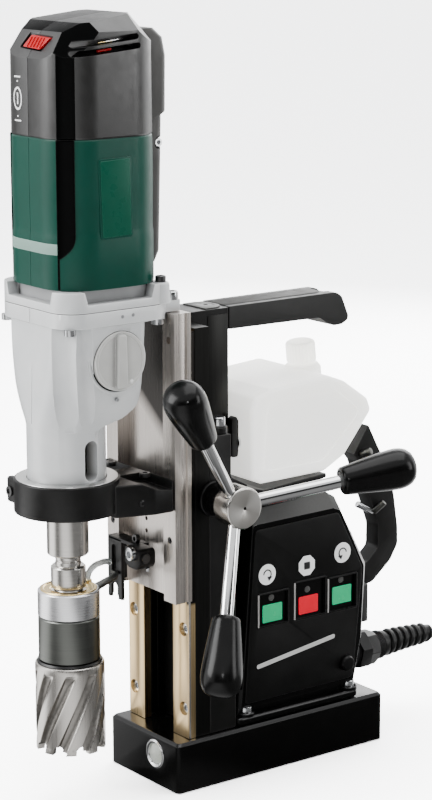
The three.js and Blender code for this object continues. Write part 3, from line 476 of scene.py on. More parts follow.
def freeze(obj):
    """Applies all modifiers."""
    bpy.context.view_layer.update()
    depsgraph = bpy.context.evaluated_depsgraph_get()
    mesh = bpy.data.meshes.new_from_object(obj.evaluated_get(depsgraph))
    old = obj.data
    obj.modifiers.clear()
    obj.data = mesh
    if old.users == 0:
        bpy.data.meshes.remove(old)
    return obj


def boolean(obj, tools, operation):
    """Combines obj with each tool in turn and removes the tool.

    The exact solver takes over where the manifold one gives nothing; if both fail the
    mesh stays as it was.
    """
    for tool in tools:
        before = obj.data.copy()
        for solver in ("MANIFOLD", "EXACT"):
            mod = obj.modifiers.new("boolean", "BOOLEAN")
            mod.operation, mod.solver, mod.object = operation, solver, tool
            mod.use_self = solver == "EXACT"
            freeze(obj)
            if len(obj.data.polygons) > 3:
                break
            obj.data = before.copy()
        discard(tool)
        bpy.data.meshes.remove(before)
    return obj


def cut(obj, *tools):
    return boolean(obj, tools, "DIFFERENCE")


def join(obj, *tools):
    return boolean(obj, tools, "UNION")


def common(obj, tool):
    return boolean(obj, [tool], "INTERSECT")


def add_bevel(obj, width, segments, angle):
    mod = obj.modifiers.new("bev", "BEVEL")
    mod.width, mod.segments = width, segments
    mod.limit_method, mod.angle_limit = "ANGLE", math.radians(angle)
    mod.use_clamp_overlap = True
    return mod


def bevel(obj, width, segments=3, angle=28):
    """Rounds the edges sharper than `angle` degrees."""
    add_bevel(obj, width * MM, segments, angle).miter_outer = "MITER_ARC"
    return freeze(obj)


def slice_off(obj, planes):
    """Cuts off what lies on the normal's side of each (point, normal) and closes the mesh."""
    bm = bmesh.new()
    bm.from_mesh(obj.data)
    for point, normal in planes:
        made = bmesh.ops.bisect_plane(
            bm, geom=bm.verts[:] + bm.edges[:] + bm.faces[:], plane_co=Vector(point) * MM,
            plane_no=Vector(normal).normalized(), clear_outer=True, dist=1e-6)
        rim = [e for e in made["geom_cut"] if isinstance(e, bmesh.types.BMEdge)]
        bmesh.ops.holes_fill(bm, edges=rim, sides=0)
    bmesh.ops.remove_doubles(bm, verts=bm.verts, dist=1e-6)
    bmesh.ops.recalc_face_normals(bm, faces=bm.faces)
    bm.to_mesh(obj.data)
    bm.free()
    return obj


def merge(name, parts):
    bm = bmesh.new()
    for part in parts:
        bm.from_mesh(part.data)
        discard(part)
    mesh = bpy.data.meshes.new(name)
    bm.to_mesh(mesh)
    bm.free()
    return link_object(name, mesh)


def smooth(obj, angle):
    bm = bmesh.new()
    bm.from_mesh(obj.data)
    limit = math.radians(angle)
    for face in bm.faces:
        face.smooth = True
    for edge in bm.edges:
        edge.smooth = not (len(edge.link_faces) != 2 or edge.calc_face_angle(0) > limit)
    bm.to_mesh(obj.data)
    bm.free()


def finish(obj, mats, body, node=None, angle=32):
    """Materials (names parted by spaces), shading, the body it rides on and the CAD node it
    replaces."""
    obj.data.materials.clear()
    for name in mats.split():
        obj.data.materials.append(MATS[name])
    smooth(obj, angle)
    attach(obj, body)
    if node:
        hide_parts(node)


def paint(obj, *tests):
    """Faces that pass test i, given centre in mm and normal, get material i + 1; last wins."""
    for face in obj.data.polygons:
        centre = face.center / MM
        index = 0
        for i, test in enumerate(tests, 1):
            if test(centre, face.normal):
                index = i
        face.material_index = index


# ---------- outlines ----------
def rect(x0, x1, y0, y1):
    return [(x0, y0), (x1, y0), (x1, y1), (x0, y1)]


def about(x, y, half_x, half_y):
    return x - half_x, x + half_x, y - half_y, y + half_y


def inset(x0, x1, y0, y1, depth):
    return x0 + depth, x1 - depth, y0 + depth, y1 - depth


def xz(points):
    """Outline given as (x, z) turned into the (z, x) order that a y prism wants."""
    return [(z, x) for x, z in points]


def ngon(radius, count, turn=0.0, x=0.0, y=0.0):
    angles = [turn + 2 * math.pi * i / count for i in range(count)]
    return [(x + radius * math.cos(a), y + radius * math.sin(a)) for a in angles]


def rrect(x0, x1, y0, y1, radius, steps=10, rear=None):
    """Rounded rectangle; `rear` is the radius of the +y corners if it differs."""
    rear = radius if rear is None else rear
    corners = ((x1 - radius, y0 + radius, radius, -90), (x1 - rear, y1 - rear, rear, 0),
               (x0 + rear, y1 - rear, rear, 90), (x0 + radius, y0 + radius, radius, 180))
    points = []
    for x, y, size, start in corners:
        for i in range(steps + 1):
            angle = math.radians(start + 90 * i / steps)
            points.append((x + size * math.cos(angle), y + size * math.sin(angle)))
    return points


def round_corner(before, corner, after, radius, steps, flattest, reach):
    """Curve in place of a corner; empty if it is flatter than `flattest` degrees."""
    back, ahead = before - corner, after - corner
    angle = back.angle(ahead)
    if radius <= 0 or angle > math.radians(flattest):
        return []
    length = min(radius / math.tan(angle / 2), back.length * reach, ahead.length * reach)
    start = corner + back.normalized() * length
    end = corner + ahead.normalized() * length
    points = []
    for k in range(steps + 1):
        part = k / steps
        point = start.lerp(corner, part).lerp(corner.lerp(end, part), part)
        points.append((point.x, point.y))
    return points


def fillet(profile, radius, steps=4):
    """Rounds the inner corners of a chain; radius is one number or {corner: radius}."""
    out = [profile[0]]
    for i in range(1, len(profile) - 1):
        size = radius.get(i, 0) if isinstance(radius, dict) else radius
        chain = [Vector(p) for p in profile[i - 1:i + 2]]
        out += round_corner(*chain, size, steps, 170, 0.48) or [profile[i]]
    return out + [profile[-1]]


def outline(points, radius, steps=5):
    """Rounds every corner of a closed outline; radius is one number or one per corner."""
    corners = [Vector(p) for p in points]
    out = []
    for i, corner in enumerate(corners):
        size = radius[i] if isinstance(radius, list) else radius
        after = corners[(i + 1) % len(corners)]
        out += (round_corner(corners[i - 1], corner, after, size, steps, 175, 0.49)
                or [tuple(corner)])
    return out


# ---------- solids ----------
def band(lower, upper, seg):
    """Quads between two rings of seg points, given by ring number."""
    return [[lower * seg + i, lower * seg + (i + 1) % seg,
             upper * seg + (i + 1) % seg, upper * seg + i] for i in range(seg)]


def bands(rings, seg):
    return [quad for k in range(rings - 1) for quad in band(k, k + 1, seg)]


def end_faces(rings, seg):
    return [list(range(seg))[::-1], list(range((rings - 1) * seg, rings * seg))]


def lathe(name, profile, seg=64, at=ORIGIN, axis="z"):
    """Turned solid; the profile ends on the axis or loops back on itself."""
    closed = profile[0] == profile[-1] and profile[0][0] > 1e-9
    verts, rings = [], []
    for radius, z in profile[:-1] if closed else profile:
        first = len(verts)
        if radius < 1e-9:
            rings.append([first] * seg)
            verts.append((0, 0, z))
        else:
            rings.append(list(range(first, first + seg)))
            verts += [(x, y, z) for x, y in ngon(radius, seg)]
    faces = []
    for lower, upper in zip(rings, rings[1:] + (rings[:1] if closed else [])):
        for i in range(seg):
            j = (i + 1) % seg
            face = list(dict.fromkeys((lower[i], lower[j], upper[j], upper[i])))
            if len(face) > 2:
                faces.append(face)
    return solid(name, verts, faces, at, axis)


def cylinder(name, radius, low, high, seg, at=ORIGIN, axis="z"):
    return lathe(name, [(0, low), (radius, low), (radius, high), (0, high)], seg, at, axis)


def tube(name, inner, outer, low, high, seg, at=ORIGIN, axis="z"):
    profile = [(inner, low), (outer, low), (outer, high), (inner, high), (inner, low)]
    return lathe(name, profile, seg, at, axis)


def rod(name, start, end, radius, seg=32):
    along = Vector(end) - Vector(start)
    turn = along.to_track_quat("Z", "Y").to_matrix()
    return cylinder(name, radius, 0, along.length, seg, start, turn)


def prism(name, points, low, high, axis="z", at=ORIGIN):
    count = len(points)
    verts = [(x, y, z) for z in (low, high) for x, y in points]
    return solid(name, verts, end_faces(2, count) + band(0, 1, count), at, axis)


def box(name, x0, x1, y0, y1, z0, z1):
    return prism(name, rect(x0, x1, y0, y1), z0, z1)


def loft(name, sections, axis="z", at=ORIGIN):
    """Solid through sections (z, points), all with equal point counts."""
    rings, seg = len(sections), len(sections[0][1])
    verts = [(x, y, z) for z, points in sections for x, y in points]
    return solid(name, verts, bands(rings, seg) + end_faces(rings, seg), at, axis)


def sweep(name, path, radius, seg, sub=8, end_radius=None):
    """Round tube along a Catmull-Rom path through the points."""
    knots = [Vector(p) for p in path]
    points = []
    for i in range(len(knots) - 1):
        p1, p2 = knots[i], knots[i + 1]
        p0, p3 = knots[max(i - 1, 0)], knots[min(i + 2, len(knots) - 1)]
        for k in range(sub):
            t = k / sub
            points.append(0.5 * ((2 * p1) + (-p0 + p2) * t + (2 * p0 - 5 * p1 + 4 * p2 - p3)
                                 * t * t + (-p0 + 3 * p1 - 3 * p2 + p3) * t ** 3))
    points.append(knots[-1])
    last = len(points) - 1
    growth = 0 if end_radius is None else end_radius - radius
    verts, normal = [], None
    for i, point in enumerate(points):
        ahead = (points[min(i + 1, last)] - points[max(i - 1, 0)]).normalized()
        if normal is None:
            steep = abs(ahead.dot(Vector((0, 0, 1)))) >= 0.9
            normal = ahead.cross(Vector((1, 0, 0) if steep else (0, 0, 1))).normalized()
        normal = (normal - ahead * normal.dot(ahead)).normalized()
        across = ahead.cross(normal)
        size = radius + growth * (i / last)
        for k in range(seg):
            angle = 2 * math.pi * k / seg
            verts.append(point + normal * size * math.cos(angle)
                         + across * size * math.sin(angle))
    return solid(name, verts, bands(last + 1, seg) + end_faces(last + 1, seg))


def skin(name, surface, outer, inner, nu, nv):
    """Thin body between two offsets of surface(across, up, offset), both from 0 to 1."""
    verts = [surface(i / nu, j / nv, offset) for offset in (outer, inner)
             for j in range(nv + 1) for i in range(nu + 1)]
    row, under, faces = nu + 1, len(verts) // 2, []
    for j in range(nv):
        for i in range(nu):
            a = j * row + i
            faces.append([a, a + 1, a + row + 1, a + row])
            faces.append([under + a, under + a + row, under + a + row + 1, under + a + 1])
    for i in range(nu):
        faces.append([i, under + i, under + i + 1, i + 1])
        b = nv * row + i
        faces.append([b, b + 1, under + b + 1, under + b])
    for j in range(nv):
        a = j * row
        faces.append([a, a + row, under + a + row, under + a])
        b = a + nu
        faces.append([b, under + b, under + b + row, b + row])
    return solid(name, verts, faces)


def knurled(rings, seg, ratio, width=1):
    """Points of the rings (radius, z, is knurled); every other `width` points drawn in."""
    verts = []
    for radius, z, is_knurled in rings:
        for i in range(seg):
            size = radius * (ratio if is_knurled and (i // width) % 2 else 1)
            angle = 2 * math.pi * i / seg
            verts.append((size * math.cos(angle), size * math.sin(angle), z))
    return verts


def screw(name, at, axis, body, size, height=None, mat="zinc", washer=None):
    """Knurled cap screw head with a hexagon socket, standing on `at` and pointing along axis.
    washer is (thickness, radius)."""
    seg = 48
    radius = size * 0.85
    height = height or size
    verts = knurled(((radius * 0.98, 0.0, False), (radius, 0.15, True),
                     (radius, height * 0.82, True), (radius * 0.95, height * 0.93, False),
                     (radius * 0.84, height, False)), seg, ratio=0.965)
    sixth = math.pi / 3
    for z in (height, height - height * 0.55):
        for i in range(seg):
            angle = 2 * math.pi * i / seg
            reach = size * 0.46 * math.cos(sixth / 2) / math.cos(angle % sixth - sixth / 2)
            verts.append((reach * math.cos(angle), reach * math.sin(angle), z))
    lift = AXES[axis] @ Vector((0, 0, washer[0] if washer else 0))
    head = solid(name, verts, bands(7, seg) + end_faces(7, seg), Vector(at) + lift, axis)
    finish(head, mat, body, angle=25)
    if washer:
        thick, rim = washer
        bore = size * 0.4
        ring = lathe(name + "_washer",
                     [(bore, 0), (rim, 0), (rim + 0.12, 0.12), (rim + 0.12, thick - 0.12),
                      (rim, thick), (bore, thick), (bore, 0)], 40, at, axis)
        finish(ring, "screw_dark", body)


# =====================================================================================
# magnet base
# =====================================================================================
def magnet_base():
    side = rrect(-40, 40, -90, 91, 3, 8)
    top = rrect(-38.2, 38.2, -88.2, 89.2, 2.6, 8)
    body = loft("magnet_body", [(0, side), (33.2, side), (35, top)])
    groove = cut(prism("cut", rrect(-27, 27, -77, 78, 9, 8), -1, 21),
                 prism("cut", rrect(-14, 14, -64, 65, 4, 8), -2, 22))
    cut(body, groove, cylinder("cut", 10.35, -1, 6, 64, EYE, "y"))
    bevel(body, 0.45, 3, 40)
    finish(body, "black_enamel iron", "base", "magnet_base")
    paint(body, lambda pos, normal: pos.z < 0.2 and normal.z < -0.9)


def indicator_eye():
    """Chrome ring round a ribbed, slightly domed lens."""
    ring = [(7.3, -5.8), (10.2, -5.8), (10.2, 0.4), (9.0, 1.0), (7.6, 0.2), (7.3, -0.8),
            (7.3, -5.8)]
    finish(lathe("indicator_ring", fillet(ring, 0.3, 3), 72, EYE, "-y"),
           "chrome", "base", "indicator_bezel")
    glass = [(0, -5.0), (7.2, -5.0), (7.2, -1.2)]
    for i in range(22):
        radius = 7.1 * (1 - i / 21)
        rib = 0.13 if i % 2 else 0
        glass.append((radius, -0.9 + 1.2 * (1 - (radius / 7.1) ** 2) + rib))
    finish(lathe("indicator_glass", glass, 64, EYE, "-y"),
           "lens", "base", "indicator_lens", 60)


# =====================================================================================
# column, gibs, handle
# =====================================================================================
def column():
    side = outline([(-59, 35.3), (-37, 35.3), (-37, 188.5), (-27.3, 189.2), (-27.3, 205.8),
                    (-41, 213), (-41, 243), (-59, 243)], [0.5, 2, 2, 0.5, 0.5, 3, 1.5, 1.5], 4)
    block = bevel(prism("part", side, -35, 35, "x"), 0.9, 3, 50)
    pocket = [(-70, 190), (-56, 190), (-48, 193), (-45, 201), (-48, 209), (-56, 212),
              (-70, 212)]
    cut(block, prism("cut", pocket, -8.4, 8.4, "x"),
        box("cut", -8.4, 8.4, -60, -56.5, 36, 318),
        cylinder("cut", 7.4, -15.5, 30, 48, FEED, "x"),
        cylinder("cut", 10.3, 22.3, 40, 48, FEED, "x"))
    bar = prism("part", rrect(-15, 15, -59, -27.5, 1.0, 5, rear=1.6), 243.0, 324.5)
    cut(bar, box("cut", -8.4, 8.4, -60, -56.5, 200, 318))
    finish(merge("column_body", [block, bar]), "black_powder", "base",
           "column_frame")
    # painted light and shade: grey metal sheets lighten the rear of the bar's sides, while their
    # front part stays black as the shade of a recess
    for side, place in SIDES:
        liner = box(f"bar_lit_side_{place}", *sorted((side * 15, side * 15.5)),
                    -45.5, -28.6, 243.4, 320.6)
        finish(bevel(liner, 0.2, 2), "bar_side", "base")


def column_clamps():
    """Tab on the right of the upper bar and two padded screws on top of the block."""
    shape = outline([(-29.5, 222), (-24.6, 222), (-24.0, 226), (-24.0, 247), (-26, 250.5),
                     (-29.5, 248)], 1.2, 3)
    tab = bevel(prism("clamp_tab", shape, 15.2, 21, "x"), 0.6, 2)
    finish(tab, "black_powder", "base")
    arm = bevel(box("clamp_tab_arm", 14.8, 19, -36, -28.6, 224, 238), 0.6, 2)
    finish(arm, "black_powder", "base")
    screw("clamp_tab_screw", (18, -24.2, 231.6), "y", "base", 5.0, 2.0)
    for side, place in SIDES:
        x, y = side * 28, -46.4
        pad = fillet([(0, 242.8), (6.0, 242.8), (6.0, 247.6), (0, 247.6)], 0.5, 3)
        finish(lathe(f"block_pad_{place}", pad, 48, (x, y, 0)),
               "black_powder", "base")
        screw(f"block_screw_{place}", (x, y, 247.6), "z", "base", 5.6, washer=(1.0, 5.2))


def gib_strips():
    """Brass strips down the front edges, their screws sunk in counterbores, and a light steel
    strip on each outer edge as a painted highlight.
    """
    heights = [55.6 + 56.2 * k for k in range(5)]
    for side, place in reversed(SIDES):
        strip = box(f"gib_{place}", *sorted((side * 17, side * 35)), -77, -71.3, 35.3, 316)
        x = side * 29.2
        cut(strip, *[cylinder("cut", 4.75, -1, 4.2, 40, (x, -77, z), "y") for z in heights])
        finish(bevel(strip, 0.22, 2, 40), "brass", "base", f"gib_strip_{place}")
        # painted highlight: light strip along the outer front corner of each gib strip
        backing = box(f"gib_edge_highlight_{place}", *sorted((side * 35.05, side * 35.5)),
                      -76.8, -75.4, 35.5, 315.6)
        finish(bevel(backing, 0.12, 2), "ground_light", "base")
        for k, z in enumerate(heights):
            screw(f"gib_screw_{place}_{k}", (x, -72.85, z), "-y", "base", 5.0, 2.2)


def top_cover():
    """Plate let into the handle, with a countersunk screw."""
    y, top = -36, 325.3
    shape = [(-12.6, -46), (12.6, -46), (12.6, y), (9.5, -30.6), (4.5, -28.8), (-4.5, -28.8),
             (-9.5, -30.6), (-12.6, y)]
    plate = prism("top_cover", outline(shape, [1, 1, 4, 4, 4, 4, 4, 4], 4), 324.0, top)
    sink = [(0, -4), (3.1, -4), (3.1, -2.2), (5.3, 0.1), (5.3, 1), (0, 1)]
    cut(plate, lathe("cut", sink, 48, (0, y, top)))
    finish(bevel(plate, 0.35, 2, 40), "top_grey", "base", "top_plate")
    head = [(0, -3.4), (2.8, -3.4), (5.1, -0.35), (5.1, -0.15), (0, -0.15)]
    sunk = cut(lathe("top_screw", head, 48, (0, y, top)),
               prism("cut", ngon(1.75, 6), 323.4, 326, "z", (0, y, 0)))
    finish(sunk, "screw_dark", "base")


def handle():
    """Rounded grip running to the rear, with a flat inlay in its top."""
    side = outline([(-27.2, 325), (66, 325), (71, 321.5), (77, 307.5), (76.4, 304.5),
                    (71, 301.8), (64, 301.6), (57, 304.6), (51, 308.6), (-27.2, 309.4)],
                   [0.5, 8, 6, 3, 3, 4, 4, 8, 8, 0.5], 6)
    grip = bevel(prism("grip", side, -15, 15, "x"), 6.6, 8, 50)
    hollow = outline([(60, 330), (60, 325), (64, 321.6), (71, 317.5), (90, 315), (90, 330)],
                     [0, 3, 6, 6, 0, 0], 5)
    cut(grip, bevel(prism("cut", hollow, -8.5, 7.0, "x"), 2.0, 4, 50))
    finish(grip, "grip_black", "base", "carry_handle", 40)
    shape = outline([(-9.6, -27.0), (9.6, -27.0), (9.6, 52), (7, 58), (-7, 58), (-9.6, 52)],
                    [0.5, 0.5, 6, 6, 6, 6], 5)
    inlay = bevel(prism("grip_inlay", shape, 324.7, 325.35), 0.2, 2, 40)
    finish(inlay, "inlay_grey", "base")


def feed_bushing():
    profile = [(7.2, 22.6), (10, 22.6), (10, 35.4), (12.2, 35.4), (12.2, 37.2), (11.6, 37.8),
               (7.2, 37.8), (7.2, 22.6)]
    finish(lathe("feed_bushing", fillet(profile, 0.3, 3), 64, FEED, "x"),
           "plastic_deep", "base", "feed_bush")


# =====================================================================================
# control housing
# =====================================================================================
def control_case():
    outer = [(-36.4, 35.3), (-34, 60), (-19, 185.2), (46.5, 187.8), (54, 183.5), (83, 130),
             (80, 75), (71, 35.3)]
    inner = [(-31.5, 46), (-30, 60), (-21.5, 175.5), (50, 176.5), (56, 174), (78, 130),
             (75.5, 78), (68.8, 46)]
    radii = [1, 10, 4, 3, 3, 5, 8, 1]
    wide, narrow = outline(outer, radii, 5), outline(inner, radii, 5)
    case = loft("control_case", [(-33.4, narrow), (-28.5, wide), (28.5, wide), (33.4, narrow)],
                "x")
    cavity = [(-27.5, 52), (-20, 171), (49, 171), (71.5, 129), (64, 52)]
    cut(case, prism("cut", cavity, -28, 33.0, "x"))
    bevel(case, 1.1, 3, 18)
    finish(case, "black_enamel rim_grey case_top", "base", "control_housing", 30)

    # grey chamfer rim; chamfers that face the front stay black as painted shade
    def rim(pos, normal):
        return (28.0 < abs(pos.x) < 33.6 and 0.15 < abs(normal.x) < 0.97 and pos.z > 60
                and normal.y > -0.12)

    paint(case, rim, lambda pos, normal: normal.z > 0.3 and pos.z > 170)


def control_foot():
    foot = prism("control_foot", outline(rect(-37, 37, -36.4, 71), 4, 6), 35.3, 41.0)
    finish(bevel(foot, 2.0, 4, 50), "black_enamel", "base")
    pad = [(0, 40.4), (6.4, 40.4), (6.4, 42.6), (5.8, 43.2), (0, 43.2)]
    for i, (x, y) in enumerate([(x, y) for x in (31, -31) for y in (-26, 66)]):
        finish(lathe(f"foot_pad_{i}", pad, 40, (x, y, 0)), "black_enamel", "base")
        screw(f"foot_screw_{i}", (x, y, 43.2), "z", "base", 5.2, 4.0)


# place, body, colour, centre y, z, window in the panel (y0, y1, z0, z1)
BUTTONS = (
    ("right", "green_button_right", "green", -4.6, 110.9, (-18, 9, 101.8, 127)),
    ("stop", "red_stop_button", "red", 27.2, 111.0, (13.6, 42.2, 101.5, 130)),
    ("left", "green_button_left", "green", 57.4, 112.6, (43.6, 70.4, 101.2, 127.6)),
)


def front_panel():
    """Grained plate with three windows on the right side of the case."""
    shape = outline([(-29, 49.5), (67.5, 50), (75.4, 129.7), (53, 173), (-20, 172)],
                    [3, 5, 5, 3, 3], 5)
    panel = prism("front_panel", shape, 33.0, 35, "x")
    cut(panel, *[box("cut", 30, 40, *button[-1]) for button in BUTTONS])
    finish(bevel(panel, 0.5, 3, 40), "panel_black", "base", "control_panel")


def buttons():
    """Deep black frames with a lamp above each button and a light strip painted as a highlight on
    each window's left edge, then the button caps.
    """
    frames = []
    for k, (_, _, _, y, z, window) in enumerate(BUTTONS):
        hole = about(y, z, 8.9, 6.75)
        outer = prism("part", outline(rect(*inset(*window, 0.05)), 1.4, 4), 29, 35.7, "x")
        cut(bevel(outer, 0.5, 3, 60), box("cut", 31.0, 40, *inset(*window, 1.3)),
            box("cut", 25, 40, *hole))
        collar = prism("part", outline(rect(*about(y, z, 9.9, 7.75)), 1.6, 4), 29, 32.7, "x")
        cut(bevel(collar, 0.5, 3, 60), box("cut", 25, 40, *hole))
        frames += [outer, collar]
        lamp = [(0, 30.6), (2.4, 30.6), (2.4, 33.4), (1.8, 34.0), (0, 34.3)]
        finish(lathe(f"button_lamp_{k}", lamp, 32, (0, y - 0.6, z + 10.9), "x"),
               "lamp_dim", "base")
        y0, _, z0, z1 = window
        # painted highlight: light strip along the left edge of the window
        edge = box(f"bezel_highlight_{k}", 34.9, 35.95, y0 - 0.25, y0 + 0.45, z0 + 1.0, z1 - 1.0)
        finish(bevel(edge, 0.2, 2), "stripe_dim", "base")
    finish(merge("button_bezels", frames), "plastic_deep", "base", "button_frame")
    dish = [(0, -0.7), (8.0, -0.45), (16, 0.25), (26, 1.2), (26, 3), (0, 3)]
    for place, body, colour, y, z, _ in BUTTONS:
        cap = prism(f"cap_{place}", outline(rect(*about(y, z, 8.5, 6.35)), 1.1, 5),
                    29.5, 34.4, "x")
        cut(cap, lathe("cut", dish, 48, (34.2, y, z), "x"))
        finish(bevel(cap, 0.7, 4, 40), f"cap_{colour}", body,
               f"button_{place}", 30)


def turn_arrow(name, y, z, side):
    """Open ring with an arrow head at its lower end; side mirrors it in y."""
    def arc(radius, degrees):
        return [(y + side * radius * math.cos(math.radians(a)),
                 z + radius * math.sin(math.radians(a))) for a in degrees]

    ring = prism("part", arc(3.7, range(-50, 181, 15)) + arc(2.8, range(180, -51, -15)),
                 35.1, 35.5, "x")
    (tip_y, tip_z), = arc(3.25, (-50,))
    head = [(tip_y + side * dy, tip_z + dz) for dy, dz in ((-2.1, 0.9), (2.1, 0.6), (-0.7, -2.2))]
    return merge(name, [ring, prism("part", head, 35.1, 35.5, "x")])


def panel_labels():
    """White discs with a symbol above each button, and a plain slanted rule below them."""
    for k, (y, z, sides) in enumerate(((-10.2, 139.5, 0), (24.6, 139.8, 8), (56.6, 143.6, 0))):
        shape = ngon(7.6, sides, math.pi / 8, y, z) if sides else ngon(7.3, 48, 0, y, z)
        disc = bevel(prism(f"label_disc_{k}", shape, 34.8, 35.3, "x"), 0.12, 2, 50)
        finish(disc, "mark_white", "base")
        name = f"label_mark_{k}"
        if sides:
            mark = prism(name, rrect(*about(y, z, 2.6, 2.6), 0.5), 35.1, 35.5, "x")
        else:
            mark = turn_arrow(name, y, z, 1 if k == 0 else -1)
        finish(mark, "screw_dark", "base")
    rule = outline([(-19, 73), (50, 82.5), (50, 85.5), (-19, 76)], 1.2, 4)
    finish(prism("plain_rule", rule, 34.8, 35.35, "x"), "mark_dim", "base")


def case_knobs():
    """Cap at the lower rear of the panel and a small knob on the rear slope of the case."""
    cap = fillet([(0, 34.6), (5.6, 34.6), (5.6, 37.6), (4.6, 39.2), (0, 39.6)], 0.6, 3)
    finish(lathe("panel_cap_0", cap, 48, (0, 60.5, 62.0), "x"),
           "plastic_deep", "base")
    across, outward = Vector((1, 0, 0)), Vector((0, 0.877, 0.48))
    turn = basis(across, outward.cross(across), outward)
    knob = fillet([(0, -1.5), (7.6, -1.5), (7.6, 1.6), (6.4, 3.0), (0, 3.4)], 0.5, 3)
    finish(lathe("slope_knob", knob, 48, (15, 73.6, 150), turn),
           "plastic_deep", "base")


def magnet_switch():
    """Rocker switch on the rear of the case."""
    case = bevel(box("switch_case", 8.6, 28.4, 76.5, 86.6, 86, 114), 1.0, 3, 60)
    cut(case, box("cut", 11.5, 25.5, 82.4, 93, 88.8, 111.2))
    finish(case, "plastic_black", "base", "switch_body")
    shape = outline([(83, 100), (84, 90.5), (89.0, 89.5), (87.2, 100), (89.0, 110.5),
                     (84, 109.5)], [2, 0.8, 0.8, 6, 0.8, 0.8], 4)
    rocker = bevel(prism("rocker_cap", shape, 12, 25, "x"), 0.5, 3, 50)
    finish(rocker, "rocker_red", "rocker", "magnet_rocker")


def cable_gland():
    """Collar, two chamfered hexagon nuts and a ribbed sleeve."""
    at, bore = (GLAND_X, 0, GLAND_Z), 6.6
    parts = [tube("part", bore, 11, 77, 84, 48, at, "y")]
    # hexagon radius, its turn, y from, y to, profile that chamfers the hexagon
    for radius, turn, low, high, chamfer in (
            (14.4, 0.26, 83, 92,
             [(0, 82), (12.6, 82), (14.2, 83.6), (14.2, 91.4), (12.6, 93), (0, 93)]),
            (13.0, 0.6, 92, 101,
             [(0, 91), (11.6, 91), (12.9, 92.4), (12.9, 99.6), (11.2, 101), (0, 101)])):
        nut = cut(prism("part", ngon(radius, 6, turn), low, high, "y", at),
                  cylinder("cut", bore, 70, 120, 48, at, "y"))
        parts.append(common(nut, lathe("cut", chamfer, 48, at, "y")))
    ribs = [(10.4 if i % 2 else 9.9, 100.5 + i * 0.62) for i in range(12)]
    sleeve = [(bore, 100.5)] + ribs + [(9.2, 108.2), (bore, 108.2), (bore, 100.5)]
    parts.append(lathe("part", sleeve, 48, at, "y"))
    finish(merge("gland", parts), "rubber", "base", "cable_gland", 28)


def kink_spiral():
    """Helical rib round the kink guard, tapering with it."""
    turns, steps, seg = 7.2, 260, 8
    verts = []
    for i in range(steps + 1):
        part = i / steps
        y = 109.6 + part * 45.6
        along = (y - 107.6) / 49.0
        core_z = GLAND_Z + 0.5 * math.sin(along * math.pi) - 0.1 * along
        radius = 9.0 - 2.9 * along
        angle = turns * 2 * math.pi * part
        centre = Vector((GLAND_X + radius * math.cos(angle), y,
                         core_z + radius * math.sin(angle)))
        outward = Vector((math.cos(angle), 0, math.sin(angle)))
        fade = min(1.0, 8 * min(part, 1 - part) + 0.15)
        for j in range(seg):
            around = 2 * math.pi * j / seg
            verts.append(centre + outward * 1.25 * math.cos(around) * fade
                         + Vector((0, 1, 0)) * 1.75 * math.sin(around) * fade)
    return solid("part", verts, bands(steps + 1, seg) + end_faces(steps + 1, seg))


def kink_guard():
    """Spiral ribs on a tapered core, and the cable inside it."""
    def path(stations):
        return [(GLAND_X, y, GLAND_Z + rise) for y, rise in stations]

    core = sweep("part", path(((107.6, 0), (118, 0.35), (132, 0.5), (144, 0.35), (156.6, -0.1))),
                 7.9, 32, end_radius=5.6)
    collar = fillet([(4.4, 108.2), (9.4, 108.2), (9.4, 112.0), (8.2, 112.6), (4.4, 112.6),
                     (4.4, 108.2)], 0.3, 2)
    parts = [core, kink_spiral(), lathe("part", collar, 40, (GLAND_X, 0, GLAND_Z), "y")]
    finish(merge("kink_guard_body", parts), "rubber", "base", "kink_guard", 35)
    lead = sweep("mains_lead", path(((90, 0), (120, 0.3), (141, 0.4), (157.4, -0.1))), 4.0, 24)
    finish(lead, "rubber", "base", "mains_cable")


def rear_bow():
    """Bow bar behind the case and canister, with its studs."""
    shape = outline(
        [(84.3, 118.4), (104, 122.5), (113.5, 131), (113.7, 147.4), (104.9, 170.7),
         (94.9, 197.7), (89.6, 204.1), (103, 224.2), (115.9, 200.2), (127.9, 169.9),
         (132, 144.3), (132.3, 130.8), (125.2, 119.6), (108.2, 106), (84.3, 104)],
        [0.5, 6, 6, 10, 0, 3, 1, 1, 12, 20, 20, 8, 8, 8, 0.5], 5)
    bow = bevel(prism("bow_bar", shape, -7, 7, "x"), 2.2, 4, 50)
    finish(bow, "black_powder", "base", "rear_bow", 35)
    for name, start, end, radius, mat in (
            ("bow_stud_top", (7.0, 96.5, 203.0), (14.5, 99.5, 206.5), 2.6, "dark_steel"),
            ("bow_stud_low", (6.4, 109.4, 158.4), (12.2, 114.6, 166.1), 2.3, "dark_steel"),
            ("bow_pin", (5.0, 94.9, 166.3), (5.0, 109.2, 158.4), 2.3, "zinc")):
        finish(bevel(rod(name, start, end, radius, 28), 0.6, 3, 40), mat, "base")


# =====================================================================================
# coolant canister
# =====================================================================================
NECK_TURN = Matrix.Rotation(math.radians(6), 3, "X")


